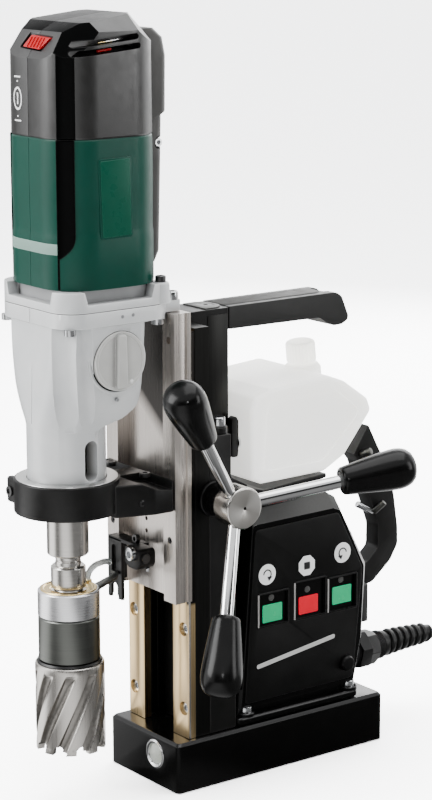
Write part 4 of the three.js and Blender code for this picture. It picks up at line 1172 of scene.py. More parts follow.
def canister():
    side = outline([(-21.5, 208), (-13.2, 203.3), (42, 204), (59.9, 213.1), (84, 242.2),
                    (80.3, 251), (59.3, 265.8), (44, 271.6), (-4.8, 268), (-19.3, 264),
                    (-22.5, 256)], [3, 4, 8, 10, 5, 5, 10, 8, 6, 4, 3], 6)
    body = bevel(prism("canister", side, -46, 33, "x"), 5.5, 7, 60)
    waist = outline([(-12, 212), (40, 212), (74, 243), (52, 260), (-8, 258)], [6, 8, 6, 8, 6], 5)
    for low, high in ((32.2, 40), (-60, -45.2)):
        cut(body, prism("cut", waist, low, high, "x"))
    neck = fillet([(0, -6), (13.2, -6), (13.2, 2.3), (11.2, 5.0), (8.1, 6.6), (8.1, 17.5),
                   (0, 17.5)], 0.8, 3)
    join(body, lathe("part", neck, 48, NECK, NECK_TURN))
    finish(bevel(body, 0.7, 3, 40), "tank_milk", "base", "coolant_tank", 40)


def canister_cap():
    """Knurled hollow cap, tilted with the neck."""
    seg = 96
    outer = [(8.5, 7.4, False), (10.2, 7.4, False), (10.4, 8.0, True), (10.4, 19.4, True),
             (9.7, 20.9, False), (8.4, 21.6, False), (0, 21.6, False)]
    inner = [(0, 19.8, False), (8.5, 19.8, False)]
    rings = outer + inner
    faces = bands(len(outer), seg)
    for k in range(len(outer), len(rings)):
        faces += band(k, (k + 1) % len(rings), seg)
    cap = solid("canister_cap", knurled(rings, seg, ratio=0.955, width=2), faces, NECK, NECK_TURN)
    finish(cap, "tank_milk", "filler_cap", "tank_cap", 28)


def cradle():
    shape = outline([(-26.9, 203.4), (-12, 199.4), (26, 202.4), (42, 203.2), (42, 200.2),
                     (29.4, 198), (22, 195.4), (-12, 192.6), (-26.9, 196)],
                    [0.8, 6, 6, 1, 1, 4, 4, 6, 0.8], 4)
    body = join(prism("cradle", shape, -34.6, 34.6, "x"),
                box("part", -12, 12, 4, 16, 185.0, 196))
    finish(bevel(body, 0.8, 3, 40), "black_powder", "base", "tank_cradle")


# =====================================================================================
# carriage: slide and holder
# =====================================================================================
def slide():
    """Plate with a wide channel down its front face."""
    right = [(26.5, -82), (26.5, -90.8), (40, -90.8), (40, -86.6), (39.75, -86.4),
             (39.75, -82.7), (39.0, -82.5), (39.0, -80.8), (39.8, -80.7), (39.8, -77.3),
             (16.5, -77.3), (16.5, -70.7)]
    left = [(-x, y) for x, y in reversed(right)]
    # the outline starts at the front left corner
    plate = prism("slide_body", left[-3:] + right + left[:-3], 134, 330)
    holes = [cylinder("cut", 2.4, -1, 4, 32, (x, -90.8, z), "y")
             for x in (-33.4, 33.4) for z in (177.0, 312.0)]
    holes += [cylinder("cut", 1.5, -1, 4, 28, (-5.9, -82, z), "y") for z in (173.9, 182.5)]
    cut(plate, *holes)
    finish(bevel(plate, 0.25, 2, 25), "slide_steel", "carriage",
           "slide_plate", 20)
    for i, x in enumerate((-33.4, 33.4)):
        at = (x, -90.8, 177.0)
        plug = cut(cylinder(f"slide_plug_{i}", 2.3, 0.6, 2.5, 32, at, "y"),
                   prism("cut", ngon(1.2, 6), 0.0, 1.9, "y", at))
        finish(plug, "screw_dark", "carriage")


def motor_holder():
    """Split clamp ring on an arm."""
    profile = [(26.3, 200.7), (35, 200.7), (35, 223.5), (26.3, 223.5), (26.3, 200.7)]
    ring = lathe("holder_ring", fillet(profile, 1.4, 4), 128, SPINDLE)
    shape = outline([(-30, -132), (30, -132), (38.6, -106), (39.2, -91.1), (-39.2, -91.1),
                     (-38.6, -106)], [0, 0, 8, 1.5, 1.5, 8], 6)
    arm = bevel(prism("part", shape, 198, 219.5), 1.6, 4, 50)
    step = [(-92, 221), (-118, 221), (-104, 214.8), (-92, 213.0)]
    cut(arm, cylinder("cut", 28, 190, 230, 96, SPINDLE), prism("cut", step, 8, 60, "x"),
        prism("cut", step, -60, -8, "x"))
    lug = bevel(box("part", -28.4, -17, -178.6, -166, 205, 222.4), 1.8, 4, 50)
    cut(lug, cylinder("cut", 29, 190, 230, 96, SPINDLE))
    join(ring, arm, lug)
    cut(ring, box("cut", -42, -22, -174.6, -172.4, 190, 230))
    finish(bevel(ring, 0.5, 2, 50), "black_powder", "carriage",
           "motor_holder", 30)
    face = [(26.4, 223.45), (33.6, 223.45), (33.5, 223.75), (26.6, 223.75), (26.4, 223.45)]
    finish(lathe("holder_top_face", face, 128, SPINDLE), "machined_face", "carriage")
    for name, at, axis, size, height in (
            ("holder_screw_side", (19.9, -101, 219.4), "z", 4.4, 3.0),
            ("holder_screw_far", (-19.9, -101, 219.4), "z", 4.4, 3.0),
            ("holder_screw_front", (34.6, -114.0, 206.5), "x", 2.8, 1.6),
            ("clamp_screw", (-23.6, -178.4, 213), "-y", 4.2, 1.6)):
        screw(name, at, axis, "carriage", size, height, "screw_dark")


# =====================================================================================
# gearbox
# =====================================================================================
# share of the height above z 262, share of the full widening
SHELL_WIDENING = [(0.0, 0.0), (0.12, 0.28), (0.25, 0.52), (0.38, 0.68), (0.6, 0.83),
                  (0.85, 0.95), (1.0, 1.0)]
# hollow flutes of the right front corner: z, their three edges (x, y), depth
FLUTES = (
    (258, (18.2, -168.4), (26.2, -156.2), (27.6, -144.5), 0.25),
    (264, (19.6, -169.6), (27.9, -157.8), (29.6, -146.4), 1.0),
    (270, (20.7, -170.9), (29.7, -159.1), (31.9, -148.0), 1.5),
    (280, (21.8, -172.5), (32.4, -161.3), (35.2, -150.2), 1.8),
    (290, (22.7, -173.9), (34.6, -163.2), (37.4, -152.3), 1.9),
    (300, (23.1, -174.6), (36.0, -164.4), (38.7, -153.3), 1.9),
    (310, (23.4, -175.1), (37.1, -165.3), (39.8, -154.0), 1.9),
    (328.0, (23.8, -175.1), (39.2, -165.9), (41.1, -155.2), 1.9),
)


def shell_section(z, depth):
    """Outline of the gearbox shell at height z, drawn in by depth; straight runs divided."""
    share = min(1.0, max(0.0, (z - 262) / 64))
    for (low, start), (high, end) in zip(SHELL_WIDENING, SHELL_WIDENING[1:]):
        if low <= share <= high:
            widening = start + (end - start) * (share - low) / (high - low)
    half = 29 + 13 * widening - depth
    is_low = z < 328.3
    front = -177 + share + depth
    back = (-110.4 if is_low else -96 + 4 * share) - depth
    steps, runs = 36, 12
    corners = rrect(-half, half, front, back, 28 - 11 * share, steps,
                    rear=7.0 if is_low else 12 + 5 * share)
    points = []
    for i, (x, y) in enumerate(corners):
        points.append((x, y))
        if (i + 1) % (steps + 1) == 0:
            next_x, next_y = corners[(i + 1) % len(corners)]
            for j in range(1, runs):
                points.append((x + (next_x - x) * j / runs, y + (next_y - y) * j / runs))
    return points


def throat_section(z):
    """Blend from the round neck at z 252 to the shell at z 262."""
    share = (z - 252) / 10
    blend = share * share * (3 - 2 * share)
    points = []
    for x, y in shell_section(262, 1.2):
        angle = math.atan2(y - SPINDLE_Y, x)
        round_x, round_y = 24.5 * math.cos(angle), SPINDLE_Y + 24.5 * math.sin(angle)
        points.append((round_x + (x - round_x) * blend, round_y + (y - round_y) * blend))
    return points


def flute(side, second):
    """Cutting body of one of the two flutes of a front corner."""
    sections = []
    for z, *edges, depth in FLUTES:
        start, end = Vector(edges[second]), Vector(edges[second + 1])
        along = (end - start).normalized()
        outward = Vector((along.y, -along.x))
        depth *= 1.25 if second else 1
        points = [start + (end - start) * (k / 14) - outward * 4 * depth * (k / 14) * (1 - k / 14)
                  for k in range(15)]
        points += [end + outward * 9 + along * 1.0, start + outward * 9 - along * 1.0]
        points = [(p.x * side, p.y) for p in points]
        sections.append((z, points if side < 0 else points[::-1]))
    return loft("cut", sections)


def gearbox_shell():
    shell = loft("gearbox_shell", [(z, throat_section(z)) for z in (252, 255, 258.5)] + [
        (z, shell_section(z, 1.1 if z < 328.2 else 0.0))
        for z in (262, 265, 269, 274, 280, 287, 295, 303, 311, 318, 323, 326.6, 328.0, 328.7,
                  333, 338)])
    for side in (1, -1):
        cut(shell, flute(side, 0), flute(side, 1))
    # the rear lower corner is cut away in a curve
    knife = outline([(-60, 240), (-148, 240), (-141, 259), (-124, 264.2), (-114.4, 273),
                     (-111.0, 286), (-60, 286)], [0, 0, 6, 12, 8, 0, 0], 6)
    cut(shell, prism("cut", knife, -60, 60, "x"))
    neck = fillet([(0, 202), (25.2, 202), (26, 202.8), (26, 262), (24, 268), (0, 268)], 0.5, 3)
    boss = fillet([(0, 20), (22.6, 20), (21.9, 38.15), (0, 38.15)], {2: 0.8}, 3)
    ear = prism("part", outline(rect(-32, 32, -96, -79), [0, 0, 3, 3], 5), 330.4, 338)
    join(shell, lathe("part", neck, 128, SPINDLE), lathe("part", boss, 128, DIAL, "x"),
         bevel(ear, 0.7, 3, 50))
    screw_boss = [(0, 327), (4.9, 327), (5.4, 338), (0, 338)]
    for side in (-1, 1):
        join(shell, lathe("part", screw_boss, 40, (side * 30, -96.9, 0)))
    inside = loft("cut", [(270, shell_section(270, 6.5)), (318, shell_section(318, 5.5)),
                          (340, shell_section(338, 5.5))])
    common(inside, box("cut", -60, 60, -220, -116.5, 260, 345))
    # hollow, spindle bore, side slot in the neck, dial seat and hole, front parting groove
    cut(shell, inside, cylinder("cut", 14.4, 195, 280, 96, SPINDLE),
        prism("cut", rrect(-152.2, -141.6, 224.4, 251.4, 5.2, 8), 5, 60, "x"),
        cylinder("cut", 19.75, 37.4, 60, 128, DIAL, "x"),
        cylinder("cut", 5.4, 10, 50, 40, DIAL, "x"),
        box("cut", -0.3, 0.3, -180, -175.3, 262, 341))
    finish(bevel(shell, 0.7, 3, 26), "cast_grey", "carriage",
           "gearbox_housing", 34)


def neck_slot():
    """Sleeve, darkened as painted shade, and two thin pipes seen through the slot in the neck."""
    # painted shade: the sleeve is dark to stand for shade in the slot
    finish(tube("slot_sleeve", 13.95, 14.3, 220.0, 256.0, 96, SPINDLE),
           "slot_steel", "carriage")
    for k, (y, radius) in enumerate(((-147.6, 0.55), (-144.9, 0.35))):
        x = math.sqrt(14.6 ** 2 - (y - SPINDLE_Y) ** 2)
        pipe = rod(f"slot_oil_pipe_{k}", (x, y, 227.5), (x, y, 249.0), radius, 16)
        finish(pipe, "gold", "carriage")


def flange():
    """Gasket, ring with four corner posts and sloping windows, and its liner."""
    gasket = cut(prism("gearbox_gasket", rrect(-41.6, 41.6, -175.6, -92.4, 16.6, 14),
                       337.9, 338.4),
                 prism("cut", rrect(-33, 33, -168, -100, 12, 8), 337, 339))
    finish(gasket, "screw_dark", "carriage")
    ring = prism("flange", rrect(-42, 42, -176, -92, 17, 16), 338.4, 351.7)
    window = [(-24.5, 343.4), (24.5, 343.4), (27.5, 354), (-27.5, 354)]
    cut(ring, prism("cut", rrect(-34.5, 34.5, -168.5, -99.5, 13, 8), 337, 353),
        prism("cut", [(MOTOR_Y + y, z) for y, z in window], -60, 60, "x"),
        prism("cut", xz(window), -220, -60, "y"))
    finish(bevel(ring, 0.75, 3, 30), "cast_grey", "carriage", "motor_flange", 34)
    liner = cut(prism("flange_liner", rrect(-33.4, 33.4, -167.4, -100.6, 12, 8), 339.0, 351.6),
                prism("cut", rrect(-30.5, 30.5, -164.5, -103.5, 10, 8), 338, 353))
    finish(liner, "liner_grey", "carriage")


def flange_screws():
    for i, side in enumerate((1, -1)):
        screw(f"corner_screw_{i}", (side * 37.2, -169.6, 328.6), "-z", "carriage", 4.4, 4.2)
    pillar = fillet([(0, 338.3), (6.4, 338.3), (5.8, 350.8), (5.0, 351.9), (0, 352.2)], 0.6, 3)
    for i, side in enumerate((1, -1)):
        screw(f"ear_screw_top_{i}", (side * 28.0, -84.4, 338.0), "z", "carriage", 5.4)
        screw(f"ear_screw_low_{i}", (side * 30, -96.9, 327.2), "-z", "carriage", 5.2, 4.2)
        x, y = side * 36.0, -98.6
        finish(lathe(f"flange_pillar_{i}", pillar, 48, (x, y, 0)),
               "cast_grey", "carriage")
        screw(f"pillar_screw_{i}", (x, y, 352.0), "z", "carriage", 4.2, 4.0, "screw_dark")


def dial():
    """Shallow disc with a proud grip bar, index dots round it and a thin dark rim."""
    # radius, x from, x to, y, z
    for i, (radius, low, high, y, z) in enumerate((
            (1.15, 41.2, 42.15, -132.6, 333.6), (1.15, 41.2, 42.15, -124.4, 333.9),
            (1.2, 33, 36.6, -133.4, 278.6))):
        finish(cylinder(f"index_dot_{i}", radius, low, high, 24, (0, y, z), "x"),
               "index_grey", "carriage")
    profile = [(0, 37.6), (19.3, 37.6), (19.3, 41.0), (18.9, 41.4), (17.2, 41.4), (16.6, 40.9),
               (0, 40.9)]
    disc = lathe("dial_disc", fillet(profile, 0.25, 3), 128, DIAL, "x")
    low, high = DIAL_Z - 17.6, DIAL_Z + 17.6
    shape = outline([(MOTOR_Y - 4.3, low), (MOTOR_Y + 4.3, low), (MOTOR_Y + 3.4, high),
                     (MOTOR_Y - 3.4, high)], 2.6, 6)
    bar = bevel(prism("part", shape, 39, 44.4, "x"), 1.3, 4, 50)
    join(disc, bar, cylinder("part", 5, 24.4, 39, 40, DIAL, "x"))
    pointer = (0, MOTOR_Y + 8.6, DIAL_Z - 14.2)
    cut(disc, cylinder("cut", 1.3, 40.3, 46, 24, pointer, "x"))
    finish(disc, "dial_grey", "selector_dial", "gear_selector", 30)
    finish(tube("dial_rim", 19.35, 20.3, 37.6, 38.35, 128, DIAL, "x"),
           "plastic_deep", "carriage")
    dot = [(0, 40.0), (1.2, 40.0), (1.2, 41.2), (0.8, 41.5), (0, 41.6)]
    finish(lathe("dial_dot", dot, 24, pointer, "x"), "mark_white", "selector_dial")


# =====================================================================================
# motor
# =====================================================================================
def motor_core(half, radius, steps):
    return rrect(*about(0, MOTOR_Y, half, half), radius, steps)


def motor_outline(grow):
    return motor_core(MOTOR_HALF + grow, MOTOR_RADIUS + grow, 24)


def corner_point(angle, offset, z, side=1):
    """Point on the motor's front corner rounding; angle in radians from +x."""
    radius = MOTOR_RADIUS + offset
    return (side * (CORNER_X + radius * math.cos(angle)),
            CORNER_Y + radius * math.sin(angle), z)


def motor_shell():
    # z, outward growth of the outline
    stations = [(352, 0.0), (352.8, 0.35), (372, 0.35), (384, 0.35), (386.5, 0.0),
                (389, -0.15), (400, 0.0), (420, 0.25), (440, 0.05), (446.2, -0.1), (447, -0.6)]
    shell = loft("motor_shell", [(z, motor_outline(grow)) for z, grow in stations])
    core = motor_core(37, 24, 10)
    cut(shell, loft("cut", [(340, core), (450, core)]),
        box("cut", -0.28, 0.28, -176, -173.6, 350, 450))
    finish(shell, "plastic_green", "carriage", "motor_housing", 25)
    field = outline([(-147.4, 433.3), (-124.9, 434.1), (-124.1, 385.4), (-145.9, 384.9)], 0.9, 4)
    finish(bevel(prism("label_field", field, 39.4, 41.0, "x"), 0.3, 3, 50),
           "plastic_label", "carriage")
    border = outline([(-148.6, 434.5), (-123.6, 435.3), (-122.9, 384.2), (-147.2, 383.7)], 1.4, 4)
    finish(bevel(prism("label_frame", border, 39.2, 40.62, "x"), 0.2, 2, 50),
           "plastic_green", "carriage")


def corner_dark_reflections():
    """Glossy near-black strips down the front corners, rounded at the foot, with a thin line
    below: a painted dark reflection in the corner rounding.
    """
    for side, place in SIDES:
        def strip(across, up, offset):
            half = 12.6
            if up < 0.2:
                half = max(1.6, 12.6 * (1 - 0.87 * ((0.2 - up) / 0.2) ** 2.4))
            angle = math.radians(-60.6 + 2 * half * across)
            return corner_point(angle, offset, 372.0 + 75.2 * up, side)

        def line(across, up, offset):
            return corner_point(math.radians(-60.6 + 3.2 * across), offset, 352.5 + 20 * up, side)

        # painted dark reflection down the corner rounding
        body = bevel(skin(f"corner_dark_reflection_{place}", strip, 0.75, -0.6, 10, 60), 0.25, 2, 50)
        finish(body, "strip_gloss", "carriage", angle=40)
        finish(skin(f"corner_line_{place}", line, 0.5, -0.4, 2, 8),
               "strip_gloss", "carriage", angle=40)


def front_band():
    """Pale band over the left front corner and the front face into the right strip."""
    bend, flat = MOTOR_RADIUS * math.radians(40), 2 * CORNER_X

    def surface(across, up, offset):
        z = 374.6 + 6.9 * up
        run = across * (bend + flat + MOTOR_RADIUS * math.radians(31))
        if run < bend:
            x, y, _ = corner_point(math.radians(230) + run / MOTOR_RADIUS, offset, z)
            return x - 2 * CORNER_X, y, z
        if run < bend + flat:
            return run - bend - CORNER_X, CORNER_Y - MOTOR_RADIUS - offset, z
        return corner_point(math.radians(270) + (run - bend - flat) / MOTOR_RADIUS, offset, z)

    body = bevel(skin("front_band", surface, 0.6, -0.4, 44, 2), 0.2, 2, 50)
    finish(body, "stripe_grey", "carriage", angle=40)


def hood_profile(grow):
    """Line of the hood at x = 0, (y, z) from the front seam over the top to the rear."""
    return [(-174 - grow, 447.3), (-174 - grow, 496 + 0.3 * grow),
            (-163 - 0.8 * grow, 513 + 0.55 * grow), (-153 - 0.3 * grow, 518.5 + 0.9 * grow),
            (-117.6 + 0.3 * grow, 522.9 + grow), (-105.6 + 0.78 * grow, 513.7 + 0.62 * grow),
            (-97 + grow, 502.6)]


FRONT_SLOPE = (0, -17, 11)      # normal of the hood's sloping front facet
# flat facets of the hood: point, outward normal
HOOD_FACETS = (
    ((0, -174, 496), FRONT_SLOPE), ((0, -163, 513), (0, -5.5, 10)),
    ((0, -153, 518.5), (0, -5.5, 43.5)), ((40, 0, 513), (7.6, 0, 9)),
    ((-40, 0, 513), (-7.6, 0, 9)), ((32.3, -166.3, 497), (0.62, -0.62, 0.48)),
    ((-32.3, -166.3, 497), (-0.62, -0.62, 0.48)), ((0, -105.6, 514.0), (0, 0.78, 0.62)),
    ((27.5, -104.5, 511.5), (0.5, 0.6, 0.62)), ((-27.5, -104.5, 511.5), (-0.5, 0.6, 0.62)),
)


def vent(start, end, low, high):
    """Round-ended slot in the y-z plane, cut from x = low to high."""
    along = (Vector(end) - Vector(start)).normalized()
    across = Vector((-along.y, along.x))
    points = []
    for centre, first in ((start, 90), (end, 270)):
        for k in range(9):
            angle = math.radians(first + 180 * k / 8)
            point = (Vector(centre) + along * 1.9 * math.cos(angle)
                     + across * 1.9 * math.sin(angle))
            points.append((point.x, point.y))
    return prism("cut", points, low, high, "x")


def motor_hood():
    hood = loft("motor_hood", [(z, motor_outline(grow)) for z, grow in (
        (447.3, -0.5), (448.2, 0.0), (498, -0.3), (526, -0.3))])
    slice_off(hood, HOOD_FACETS)
    bay = xz([(-11.5, 511.5), (17.4, 510.3), (11.2, 500.8), (-15.0, 502.0)])
    core = motor_core(36, 23, 8)
    inside = loft("cut", [(440, core), (497, core),
                          (511, rrect(-25, 25, -157, -115, 14, 8, rear=12))])
    slots = [vent(start, end, low, high) for low, high in ((30, 60), (-60, -30))
             for start, end in (((-160.7, 505.6), (-118, 509.7)),
                                ((-162.2, 499.9), (-116.3, 503.9)))]
    groove = hood_profile(1.5) + hood_profile(-0.55)[::-1]
    cut(hood, prism("cut", outline(bay, 1.2, 4), -190, -163.6, "y"), inside, *slots,
        prism("cut", groove, -0.28, 0.28, "x"))
    bevel(hood, 1.0, 4, 22)
    finish(hood, "plastic_black strip_gloss strip_matte", "carriage",
           "motor_cap", 24)

    # painted dark reflection: corner faces take the near-black gloss of the corner strips
    def corner(pos, normal):
        angle = math.degrees(math.atan2(normal.y, abs(normal.x)))
        return (-60.8 < angle < -35.2 and pos.y < -145 and abs(pos.x) > 13
                and abs(normal.z) < 0.75)

    # painted dark reflection: the upper front facet takes a darker matte black
    def upper_facet(pos, normal):
        return (-163.4 < pos.y < -152.6 and normal.z > 0.78 and normal.y < -0.3
                and abs(pos.x) < 40)

    paint(hood, corner, upper_facet)


def hood_inside():
    """Dark skin behind the vents as painted shade, small glimpses behind them, and the seam under
    the hood.
    """
    core = motor_core(35.2, 22, 8)
    # painted shade: a dark skin inside the hood, seen through the vents
    screen = loft("vent_shade_skin", [(449, core), (496, core),
                                  (510, rrect(-26, 26, -158, -114, 14, 8, rear=12))])
    finish(screen, "plastic_deep", "carriage", angle=40)
    for i, (y, z, mat) in enumerate(((-139, 506.9, "gold"), (-134, 507.5, "chrome"),
                                     (-139.5, 501.7, "plastic_red"))):
        bit = rod(f"vent_glimpse_{i}", (35.0, y - 5, z - 0.5), (35.0, y + 5, z + 0.5), 0.8, 16)
        finish(bit, mat, "carriage")
    ring = motor_outline(-1.0)
    seam = cut(loft("hood_seam", [(446.6, ring), (447.9, ring)]),
               prism("cut", motor_core(37.5, 25, 8), 446, 449))
    finish(seam, "plastic_deep", "carriage", angle=40)


def slider():
    """Red slider with thumb ribs; its front follows the sloping facet."""
    shape = xz([(-6.8, 510.1), (15.2, 509.2), (9.6, 502.1), (-10.2, 503.0)])
    cap = prism("slider_cap", outline(shape, 0.8, 4), -172.0, -163.9, "y")
    slice_off(cap, [((0, -168.6, 506), FRONT_SLOPE)])
    for i in range(5):
        x = -5.6 + i * 3.6
        rib = box("part", x, x + 1.1, -175, -163.9, 503.2, 509.2)
        join(cap, slice_off(rib, [((0, -169.5, 506), FRONT_SLOPE)]))
    join(cap, box("part", -4, 8, -164.4, -158, 503, 509))
    finish(bevel(cap, 0.3, 2, 40), "plastic_red", "speed_switch", "motor_switch")


def front_symbols():
    """An upright oval ring and short dashes on the front of the hood."""
    x, middle = -11.8, 470.5
    ring = tube("front_ring", 3.9, 4.7, -0.35, 0.22, 48, (x, -173.95, middle), "-y")
    for vertex in ring.data.vertices:
        vertex.co.z = middle * MM + (vertex.co.z - middle * MM) * 1.55
    finish(ring, "mark_white", "carriage", angle=60)
    # z, half width, half height
    for i, (z, wide, high) in enumerate((
            (middle, 0.5, 3.6), (484.2, 3.4, 0.45), (481.4, 0.5, 0.5), (456.6, 3.6, 0.45),
            (459.4, 0.5, 0.5))):
        dash = box(f"front_dash_{i}", x - wide, x + wide, -174.2, -173.4, z - high, z + high)
        finish(dash, "mark_white", "carriage")


def spine_loft(rows):
    """Rows: z, half width, front y, rear y, rear corner radius."""
    return loft("part", [(z, rrect(-half, half, front, rear, 3, 8, rear=radius))
                         for z, half, front, rear, radius in rows])


def motor_body():
    """The motor's bulk, which the spine parts are fitted to."""
    ring = motor_outline(0.35)
    return loft("cut", [(340, ring), (492, ring), (514, rrect(-40.5, 40.5, -174, -98.2, 24, 24)),
                        (530, rrect(-40.5, 40.5, -174, -101.5, 24, 24, rear=20))])


def rear_spine():
    """Lower spine and the fuller hump above it meet along a slanting seam."""
    def above(rear_z, front_z):
        return prism("cut", [(-60, rear_z), (-60, 520), (-130, 520), (-130, front_z)],
                     -40, 40, "x")

    def below(rear_z, front_z):
        return prism("cut", [(-60, rear_z), (-130, front_z), (-130, 400), (-60, 400)],
                     -40, 40, "x")

    low = spine_loft([(361, 13, -100, -84, 6), (368, 14, -100, -80.8, 7),
                      (430, 15.5, -100, -79.6, 8), (470, 16, -100, -79.0, 8)])
    hump = spine_loft([(436, 18.0, -100, -77.8, 8), (495, 18.5, -100, -77.4, 8),
                       (506.5, 18.0, -100, -79.5, 8), (512.5, 15.5, -103, -86, 6)])
    cut(low, motor_body(), above(465.9, 439.2))
    cut(hump, motor_body(), below(466.7, 440))
    cut(low, cylinder("cut", 4.6, 8.0, 30, 36, (0, -83.4, 438.8), "x"))
    spine = bevel(merge("rear_spine_body", [low, hump]), 0.9, 3, 30)
    finish(spine, "spine_grey", "carriage", "rear_spine", 30)
    screw("spine_screw", (8.2, -83.4, 438.8), "x", "carriage", 3.6, 5.6)
    core = spine_loft([(440, 14.6, -99, -80.6, 6), (470, 14.6, -99, -80.6, 6)])
    core.name = "spine_core"
    cut(core, motor_body(), above(469, 442.4), below(463.5, 436.8))
    finish(core, "plastic_deep", "carriage")


# =====================================================================================
# spindle train
# =====================================================================================
# name, material, body, slot, CAD node, facets, fillet radius, profile
TURNED = (
    ("spindle_shaft", "turned_steel", "spindle_unit", "ground_steel", "spindle", 96, 0.4,
     [(0, 170.7), (12.6, 170.7), (13.85, 171.8), (13.85, 262), (9, 264), (9, 322), (0, 322)]),
    ("arbor_body", "turned_steel", "spindle_unit", "ground_steel", "arbor", 96, 0.25,
     [(0, 129.2), (9, 129.2), (9, 147.6), (10.4, 147.6), (11.6, 148.8), (11.6, 162.2),
      (10.4, 163.5), (8.6, 163.5), (8.6, 166.3), (8.0, 166.7), (8.0, 167.4), (8.6, 167.8),
      (8.6, 170.5), (0, 170.5)]),
    ("ring_body", "ring_alu", "carriage", "aluminium", "coolant_ring", 128, 0.2,
     [(9.6, 129.4), (20.1, 129.4), (20.7, 130.0), (20.7, 146.2), (19.7, 147.2), (14.4, 147.2),
      (14.4, 146.0), (9.6, 146.0), (9.6, 129.4)]),
    ("ring_bush", "gold", "carriage", "brass", None, 96, 0.2,
     [(11.9, 145.6), (19.0, 145.6), (19.0, 147.4), (18.6, 147.9), (17.0, 147.9), (16.4, 147.3),
      (12.6, 147.3), (11.9, 146.8), (11.9, 145.6)]),
    ("holder_body", "holder_dark", "spindle_unit", "dark_steel", "tool_holder", 128, 0.3,
     [(0, 111.3), (9, 111.3), (9, 97.6), (17, 97.6), (17, 99.3), (19.8, 99.3), (20.6, 100.1),
      (20.6, 128.2), (20.0, 129.0), (0, 129.0)]),
    ("holder_groove_ring", "screw_dark", "spindle_unit", "dark_steel", None, 96, 0,
     [(17.0, 97.4), (21.4, 97.4), (21.9, 97.7), (21.4, 99.2), (17.0, 99.2), (17.0, 97.4)]),
    ("pilot", "turned_steel", "spindle_unit", "ground_steel", "pilot_pin", 40, 0.2,
     [(0, 38.6), (3.9, 43), (3.9, 95.6), (0, 95.6)]),
)


def turned_parts():
    for name, mat, body, slot, node, seg, radius, profile in TURNED:
        finish(lathe(name, fillet(profile, radius, 3), seg, SPINDLE), mat, body, node)


def cutter():
    """Annular cutter: nine helical flutes, teeth with gullets at the lower end."""
    count, radius = 9, 23.25
    bottom, top, runout = 39.6, 93.0, 9
    levels = 64
    # one land and flute: share of the pitch, radial offset
    land = [(0.0, 0.0), (0.03, -0.12), (0.12, 0.0), (0.28, 0.0), (0.42, 0.0), (0.50, 0.0),
            (0.515, -0.6), (0.54, -2.3), (0.58, -3.0), (0.68, -3.2), (0.78, -3.0),
            (0.87, -2.3), (0.94, -1.1), (0.975, -0.3)]
    sections = []
    for k in range(levels + 1):
        part = k / levels
        z = bottom + (top - bottom) * part
        twist = math.radians(60) * part
        past = z - (top - runout)
        depth = 1.0 if past < 0 else max(0.0, 1 - (past / runout) ** 2)
        points = []
        for i in range(count):
            for share, offset in land:
                angle = twist + 2 * math.pi * (i + share) / count
                size = radius + offset * depth
                points.append((size * math.cos(angle), size * math.sin(angle)))
        sections.append((z, points))
    for z, size in ((95.6, radius), (96.8, radius - 0.35), (97.3, radius - 0.9)):
        angles = [math.atan2(y, x) for x, y in sections[-1][1]]
        sections.append((z, [(size * math.cos(a), size * math.sin(a)) for a in angles]))
    wall = loft("cutter_wall", sections, "z", SPINDLE)
    shares = (0.02, 0.11, 0.20, 0.30, 0.40, 0.485)
    rim = [(radius, s) for s in shares] + [(radius - 4.9, s) for s in reversed(shares)]
    for i in range(count):
        tooth = []
        for z, lean in ((37.6, -0.045), (39.0, -0.022), (41.5, 0.0)):
            polar = [(size, 2 * math.pi * (i + share) / count + lean) for size, share in rim]
            tooth.append((z, [(size * math.cos(a), size * math.sin(a)) for size, a in polar]))
        join(wall, loft("part", tooth, "z", SPINDLE))
    bore = [(0, 30), (18.2, 30), (18.2, 84), (4.4, 84), (4.4, 99), (0, 99)]
    cut(wall, lathe("cut", bore, 96, SPINDLE))
    gullet = outline([(-3.1, -6), (2.2, -6), (3.3, 3.4), (0.4, 5.6), (-2.2, 3.2)],
                     [0, 0, 1.2, 1.2, 1.2], 3)
    for i in range(count):
        tool = prism("cut", gullet, 15, 28, "x")
        turn = Matrix.Rotation(2 * math.pi * (i + 0.55) / count, 4, "Z")
        tool.data.transform(Matrix.Translation(Vector((0, SPINDLE_Y, 38.2)) * MM) @ turn)
        cut(wall, tool)
    bevel(wall, 0.16, 2, 42)
    finish(wall, "cutter cutter_flute", "spindle_unit", "annular_cutter", 26)

    def in_flute(pos, normal):
        reach = math.hypot(pos.x, pos.y - SPINDLE_Y)
        return 19.0 < reach < radius - 0.9 and 39.5 < pos.z < 92.5 and abs(normal.z) < 0.8

    paint(wall, in_flute)


